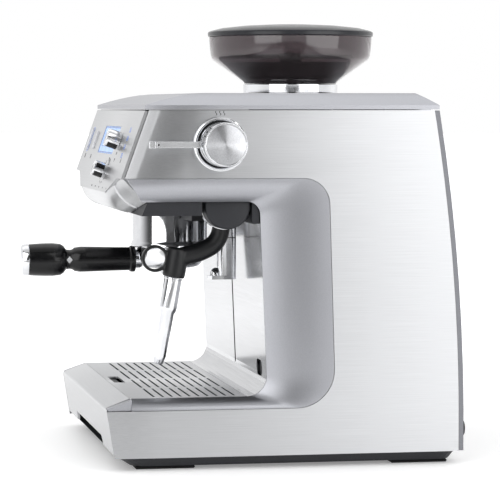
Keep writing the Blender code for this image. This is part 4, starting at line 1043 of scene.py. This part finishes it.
def makeArm():
    a = steamArm
    drops = [(0, 0), (0, -14), (0, -24), (-2.5, -33), (-9, -41), (-22, -47.5), (-36, -51), (-46, -55)]
    path = smoothPath([Vector((wandX, hub["y"] + y * mm, hub["z"] + z * mm)) for y, z in drops], 6)
    shapes = [tube(path, lambda t: a["pipe"] * (1 + 0.10 * t), 32)]
    boss = turned([(0, 15.4 * mm), (8 * mm, 15.4 * mm), (10.6 * mm, 13.8 * mm), (a["boss"], 9 * mm), (a["boss"], -10 * mm),
                   (a["boss"] - 0.6 * mm, -14.6 * mm), (0, -15.2 * mm)], 48)
    boss.transform(Matrix.Translation(bossAt) @ Matrix.Rotation(-a["lean"], 4, "X"))
    knuckle = turned([(0, 17 * mm), (15.5 * mm, 17 * mm), (16.5 * mm, 16 * mm), (16.5 * mm, -16 * mm), (15.5 * mm, -17 * mm),
                      (0, -17 * mm)], 64)
    knuckle.transform(Matrix.Translation((wandX - 7 * mm, hub["y"], hub["z"])) @ alongX)
    loop = flatShape([circle(ringAt.y, ringAt.z, a["ringOut"], 64), circle(ringAt.y, ringAt.z, a["ringIn"], 64)],
                     wandX - 4.4 * mm, wandX + 4.4 * mm)
    loop.transform(acrossX)
    whole = cutOut(shapes[0], [boss, knuckle, loop], "UNION")
    holder = bpy.data.objects.new("arm", whole)
    bpy.context.scene.collection.objects.link(holder)
    remesh = holder.modifiers.new("even", "REMESH")
    remesh.mode = "VOXEL"
    remesh.voxel_size = a["voxel"]
    melt = holder.modifiers.new("melt", "SMOOTH")
    melt.factor = 0.5
    melt.iterations = 7
    moulding = evaluatedMesh(holder)
    bpy.data.objects.remove(holder)
    newPiece("steam_arm_moulding", moulding, blackAbs, "steam_arm", ["steam_arm"], 0.0, 80)
    foot = bossAt + Vector((0, -sin(a["lean"]), -cos(a["lean"]))) * 15.3 * mm
    length = a["wandLength"]
    wand = [(0, 0), (9.3 * mm, 0), (9.3 * mm, -1.2 * mm), (8.9 * mm, -1.6 * mm), (8.9 * mm, -30 * mm), (8.2 * mm, -34 * mm),
            (7.0 * mm, -36 * mm), (6.2 * mm, -length + 8 * mm), (4.6 * mm, -length + 1.2 * mm), (3.8 * mm, -length + 0.2 * mm),
            (0, -length)]
    turnedPiece("steam_wand_tube", wand, Matrix.Translation(foot) @ Matrix.Rotation(-a["lean"], 4, "X"), chrome, "steam_arm",
                ["steam_wand"], 64, 0.15 * mm)


cover = {"radius": 23.2 * mm, "rimRadius": 24.2 * mm, "rimIn": 12 * mm}


def makeJointCover():
    low, high = nodeBox("joint_cover")
    r, front, back = cover["radius"], high.x, low.x
    at = aboutX(hub["y"], hub["z"])
    turnedPiece("joint_cover_cap", [(0, front), (r - 2.8 * mm, front), (r - 1.2 * mm, front - 0.6 * mm), (r - 0.2 * mm, front - 2 * mm),
                                    (r, front - 4 * mm), (r, back + 1.2 * mm), (r - 1 * mm, back), (0, back)],
                at, greyAbs, "cabinet", ["joint_cover"], 96, 0.3 * mm)
    turnedPiece("joint_rim", [(cover["rimRadius"], back - 0.4 * mm), (cover["rimRadius"], back - cover["rimIn"]),
                              (cover["rimRadius"] - 2 * mm, back - cover["rimIn"]), (cover["rimRadius"] - 2 * mm, back - 0.4 * mm)],
                at, chrome, "cabinet", (), 96, 0.3 * mm)


makeSteamDial()
makeLever()
makeSteamSymbol()
makeArm()
makeJointCover()
print("steam side made")

# Drip tray front and grille.
tray = {"footY": -189 * mm, "footZ": 16.5 * mm, "wall": 2.5 * mm, "ridgeZ": 62 * mm, "ridgeRadius": 4 * mm,
        "corner": 2.2 * mm, "cheekY": -195.2 * mm,
        "cheekZ": 62.3 * mm, "notchLow": 118 * mm, "notchHigh": 106 * mm, "notchZ": 26 * mm, "columns": 4, "slotWidth": 78 * mm, "rows": 10,
        "rowPitch": 9 * mm, "slot": 2.4 * mm, "firstRow": -146 * mm, "columnPitch": 88 * mm}


def makeTrayFront():
    t, c = tray, cabinet
    slopeY = nodeBox("grille")[0].y - c["gap"]
    outline = rounded([(t["footY"], t["footZ"]), (c["trayRidgeY"], t["ridgeZ"], t["ridgeRadius"]),
                       (slopeY, c["grilleZ"]), (slopeY, c["ledgeZ"] + 2 * c["gap"]),
                       (t["footY"] + t["wall"] - 4 * mm, c["ledgeZ"] + 2 * c["gap"]),
                       (t["footY"] + t["wall"], t["footZ"])], 10)
    half = c["halfWidth"] - sideBend["baseDepth"] - t["corner"]
    mesh = flatShape([outline], -half, half)
    mesh.transform(acrossX)
    for vertex in mesh.vertices:                          # its ends follow the sides' curve
        end = bendIn(c["halfWidth"], vertex.co.y, vertex.co.z) - t["corner"]
        vertex.co.x = end if vertex.co.x > 0 else -end
    notch = flatShape([rounded([(-t["notchLow"], 0.0), (-t["notchHigh"], t["notchZ"], 5 * mm),
                                (t["notchHigh"], t["notchZ"], 5 * mm), (t["notchLow"], 0.0)], 8)], 0.17, 0.21)
    notch.transform(Matrix.Rotation(pi / 2, 4, "X"))
    inner = nodeBox("bay_surround_right")[0].x
    ends = [block((min(side * inner, side * 0.22), t["cheekY"] - c["gap"], c["ledgeZ"] - c["gap"]),
                  (max(side * inner, side * 0.22), slopeY + 0.02, c["grilleZ"] + mm)) for side in (-1, 1)]
    newPiece("tray_front_sheet", cutOut(mesh, [notch] + ends), steelX, "drip_tray", ["tray_front"], 0.5 * mm)
    for name, side in (("right", 1), ("left", -1)):
        cheek = flatShape([[(t["cheekY"], t["cheekZ"]), (slopeY + 1.4 * mm, c["grilleZ"] - c["gap"]),
                            (slopeY + 1.4 * mm, c["ledgeZ"] + c["gap"]), (t["cheekY"] + 0.3 * mm, c["ledgeZ"] + c["gap"])]],
                          inner + 2 * c["gap"], half + 0.2 * mm)
        cheek.transform(acrossX)
        cheek.transform(Matrix.Diagonal((side, 1, 1, 1)))
        newPiece(f"bay_cheek_{name}", cheek, satin, "cabinet", (), 0.8 * mm)


def makeGrille():
    t, c = tray, cabinet
    low, high = nodeBox("grille")
    width, depth = high.x - low.x, high.y - low.y
    outlines = [rectangle(0, (low.y + high.y) / 2, width, depth, 1.5 * mm)]
    for column in range(t["columns"]):
        x = (column - (t["columns"] - 1) / 2) * t["columnPitch"]
        for row in range(t["rows"]):
            outlines.append(stadium(x, t["firstRow"] + row * t["rowPitch"], t["slotWidth"], t["slot"], 5))
    floatLow, floatHigh = nodeBox("tray_float")
    outlines.append(rectangle(0, (floatLow.y + floatHigh.y) / 2, floatHigh.x - floatLow.x + 6 * mm, 11.5 * mm, 2 * mm))
    newPiece("grille_plate", flatShape(outlines, low.z, high.z), steelX, "grille", ["grille"], 0.35 * mm)


makeTrayFront()
makeGrille()
print("tray made")

# Hopper: a smoked cup with a dark funnel inside, its lid and chrome collar.
hopper = {"steps": 96, "wall": 2.4 * mm}
beanAxis = Matrix.Translation((nodeMiddle("hopper_body").x, nodeMiddle("hopper_body").y, 0))


def makeHopper():
    low, high = nodeBox("hopper_body")
    top, floor = high.z, low.z
    outer = [(89.5, 0), (89.2, -6), (88.5, -14), (87.6, -20.8), (86.8, -23.2), (84.9, -25.4), (53.6, -47.8), (52.0, -49.4),
             (51.0, -50.9)]
    inner = [(20, -50.9), (20, -48.2), (49.8, -46.8), (51.8, -45.6), (83.0, -23.6), (84.6, -21.4), (85.4, -19), (86.9, 0)]
    turnedPiece("hopper_cup", [(r * mm, top + z * mm) for r, z in outer + inner], beanAxis, smoked, "hopper",
                ["hopper_body"], hopper["steps"], 0.4 * mm)
    turnedPiece("hopper_funnel", [(r * mm, floor + z * mm) for r, z in
                                  ((70.5, 24.0), (69.6, 24.0), (48.2, 6.6), (20.4, 4.6), (20.4, 3.6), (48.6, 5.4), (50, 6.4))],
                beanAxis, blackAbs, "hopper", (), hopper["steps"])
    lidLow, lidHigh = nodeBox("hopper_lid")
    z = lidHigh.z
    turnedPiece("hopper_lid_disc", [(0, z), (24 * mm, z - 0.2 * mm), (52 * mm, z - 1.6 * mm), (76 * mm, z - 4.2 * mm),
                                    (88.6 * mm, z - 7.4 * mm), (90.4 * mm, z - 8.4 * mm), (91 * mm, z - 9.6 * mm),
                                    (90.8 * mm, lidLow.z + 0.6 * mm), (90.2 * mm, lidLow.z), (0, lidLow.z)],
                beanAxis, lidSmoked, "hopper_lid", ["hopper_lid"], hopper["steps"], 0.3 * mm)
    collarLow, collarHigh = nodeBox("hopper_collar")
    a, b = collarLow.z, collarHigh.z
    turnedPiece("hopper_collar_ring", [(51.2 * mm, b), (52.2 * mm, b - 1.0 * mm), (52.0 * mm, a + 1.6 * mm), (52.8 * mm, a + 0.9 * mm),
                                       (52.8 * mm, a), (40 * mm, a), (40 * mm, b)], beanAxis, chrome, "cabinet",
                ["hopper_collar"], hopper["steps"], 0.3 * mm)


makeHopper()
print("hopper made")


# Finishes of the pieces whose shape is already right.
nodeFinish = {
    "splashback": mirrorSteel, "cup_tray": steelX, "control_panel": steelX, "shower_screen": steelX,
    "filter_basket": steelX, "steam_wand": chrome, "tray_front": steelX, "grille": steelX, "tamp_fan": steelX,
    "brew_boiler": steelX, "steam_boiler": steelX, "tank_lid": satin, "chin": satin, "select_dial": chrome,
    "menu_dial": chrome, "group_head": chrome, "portafilter_body": chrome, "portafilter_spout": chrome,
    "handle_cap": chrome, "hot_water_spout": chrome, "dial_bezel": chrome, "steam_knob": spun,
    "steam_lever": chrome, "grind_outlet": chrome, "hopper_collar": chrome, "grinder_motor": iron,
    "lower_burr": iron, "upper_burr": iron, "water_pump": iron, "level_window": blackAbs, "base_plate": plinthAbs,
    "power_inlet": blackAbs, "underside_skirt": greyAbs, "portafilter_handle": phenolic, "joint_cover": greyAbs,
    "steam_arm": blackAbs, "drip_tray": blackAbs, "hopper_lock": blackAbs, "descale_cover": greyAbs,
    "rear_cover": rearAbs, "tray_float": greyAbs, "power_button": pearlButton, "light_button": pearlButton,
    "foot_front_left": silicone, "foot_front_right": silicone, "foot_rear_left": silicone,
    "foot_rear_right": silicone, "group_gasket": silicone, "water_tank": tankClear, "hopper_body": smoked,
    "hopper_lid": lidSmoked, "display": screenGlow, "steam_valve": brass, "grinder_housing": castAlloy,
    "control_board": circuitBoard,
}
for nodeName, material in nodeFinish.items():
    node = nodes[nodeName]
    node.data.materials.clear()
    node.data.materials.append(material)
    node.data.shade_smooth()
    node.data.set_sharp_from_angle(angle=radians(32))
    if not node.hide_render:
        softenEdges(node, 0.25 * mm)
print("finishes set")


# Stage: pale floor, soft lights and the camera.
stage = {"floorRadius": 30.0, "floorColour": "#F4F4F4", "brightSide": 1.0, "dimSide": 0.08, "nearGlow": 0.25, "farGlow": 0.66,
         "shadeAt": (2.1, -0.35, 0.0), "shadeInner": 1.1, "shadeOuter": 1.6,
         "shade": 0.22,
         "glowFrom": 0.30, "glowTo": 1.6, "turnFrom": -0.45, "turnTo": 0.30}


def makeFloor():
    bm = bmesh.new()
    bmesh.ops.create_circle(bm, cap_ends=True, segments=96, radius=stage["floorRadius"])
    floor = bpy.data.objects.new("floor", meshOf(bm, "floor"))
    bpy.context.scene.collection.objects.link(floor)
    material, tree, shader = newMaterial("paleFloor", {"Base Color": linear(stage["floorColour"]), "Roughness": 0.5})
    clouds = noiseAt(tree, [0.6] * 3, 2.0)
    varyColour(tree, shader, clouds, "#F1F1F1", "#F6F6F6")
    # Painted light: the floor glows, more away from the machine, so it stays white beyond the lamps while the
    # machine's shadow still shows.
    place = addNode(tree, "TexCoord")
    reach = addNode(tree, "VectorMath", {"operation": "LENGTH"}, {"Vector": place.outputs["Object"]})
    glow = addNode(tree, "MapRange", {"interpolation_type": "SMOOTHSTEP", "From Min": stage["glowFrom"],
                                      "From Max": stage["glowTo"], "To Min": stage["nearGlow"],
                                      "To Max": stage["farGlow"]}, {"Value": reach.outputs["Value"]})
    # Painted shade: a dark zone round the camera's foot darkens the floor's colour and glow, so the sides reflect
    # dark.
    apart = addNode(tree, "VectorMath", {"operation": "DISTANCE", 1: stage["shadeAt"]},
                    {0: place.outputs["Object"]})
    shade = addNode(tree, "MapRange", {"interpolation_type": "SMOOTHSTEP", "From Min": stage["shadeInner"],
                                       "From Max": stage["shadeOuter"], "To Min": stage["shade"], "To Max": 1.0},
                    {"Value": apart.outputs["Value"]})
    dimmed = addNode(tree, "Math", {"operation": "MULTIPLY"}, {0: glow.outputs["Result"], 1: shade.outputs["Result"]})
    tree.links.new(dimmed.outputs["Value"], shader.inputs["Emission Strength"])
    tone = addNode(tree, "HueSaturation", {}, {"Value": shade.outputs["Result"],
                                               "Color": shader.inputs["Base Color"].links[0].from_socket})
    tree.links.new(tone.outputs["Color"], shader.inputs["Base Color"])
    shader.inputs["Emission Color"].default_value = (1, 1, 1, 1)
    floor.data.materials.append(material)


# A softbox of even brightness aimed at the machine; azimuth 0 is at the front, 90 at the user's right.
def addLight(name, glow, size, azimuth, elevation, distance, colour="#FFFFFF"):
    light = bpy.data.lights.new(name, "AREA")
    light.shape = "RECTANGLE"
    light.size, light.size_y = size
    light.energy = glow * pi * size[0] * size[1]
    light.color = linear(colour)[:3]
    holder = bpy.data.objects.new(name, light)
    bpy.context.scene.collection.objects.link(holder)
    a, e = radians(azimuth), radians(elevation)
    target = Vector((0, 0, 0.2))
    holder.location = target + Vector((sin(a) * cos(e), -cos(a) * cos(e), sin(e))) * distance
    holder.rotation_euler = (target - holder.location).to_track_quat("-Z", "Y").to_euler()


# A studio that is white behind the machine and dim round the camera.
def makeWorld():
    world = bpy.data.worlds.new("studio")
    bpy.context.scene.world = world
    world.use_nodes = True
    tree = world.node_tree
    place = addNode(tree, "TexCoord")
    parts = addNode(tree, "SeparateXYZ", {}, {"Vector": place.outputs["Generated"]})
    glow = addNode(tree, "MapRange", {"interpolation_type": "SMOOTHSTEP", "From Min": stage["turnFrom"],
                                      "From Max": stage["turnTo"], "To Min": stage["brightSide"],
                                      "To Max": stage["dimSide"]}, {"Value": parts.outputs["X"]})
    tree.links.new(glow.outputs["Result"], tree.nodes["Background"].inputs["Strength"])
    tree.nodes["Background"].inputs["Color"].default_value = (1, 1, 1, 1)


def makeCamera():
    lens = bpy.data.cameras.new("camera")
    lens.lens = 187.25
    lens.sensor_width = 36.0
    camera = bpy.data.objects.new("camera", lens)
    bpy.context.scene.collection.objects.link(camera)
    camera.location = (2.6949, -0.476, 0.36)
    camera.rotation_euler = (radians(86.812), 0, radians(79.507))
    bpy.context.scene.camera = camera


makeFloor()
makeWorld()
addLight("frontBox", 2.3, (1.8, 2.2), 47, 24, 2.2)
addLight("rearBox", 2.15, (2.2, 2.6), 128, 22, 2.2)
addLight("topBox", 0.6, (2.6, 2.6), 0, 88, 2.2)
makeCamera()
bpy.context.scene.view_settings.view_transform = "Standard"
print("stage set")
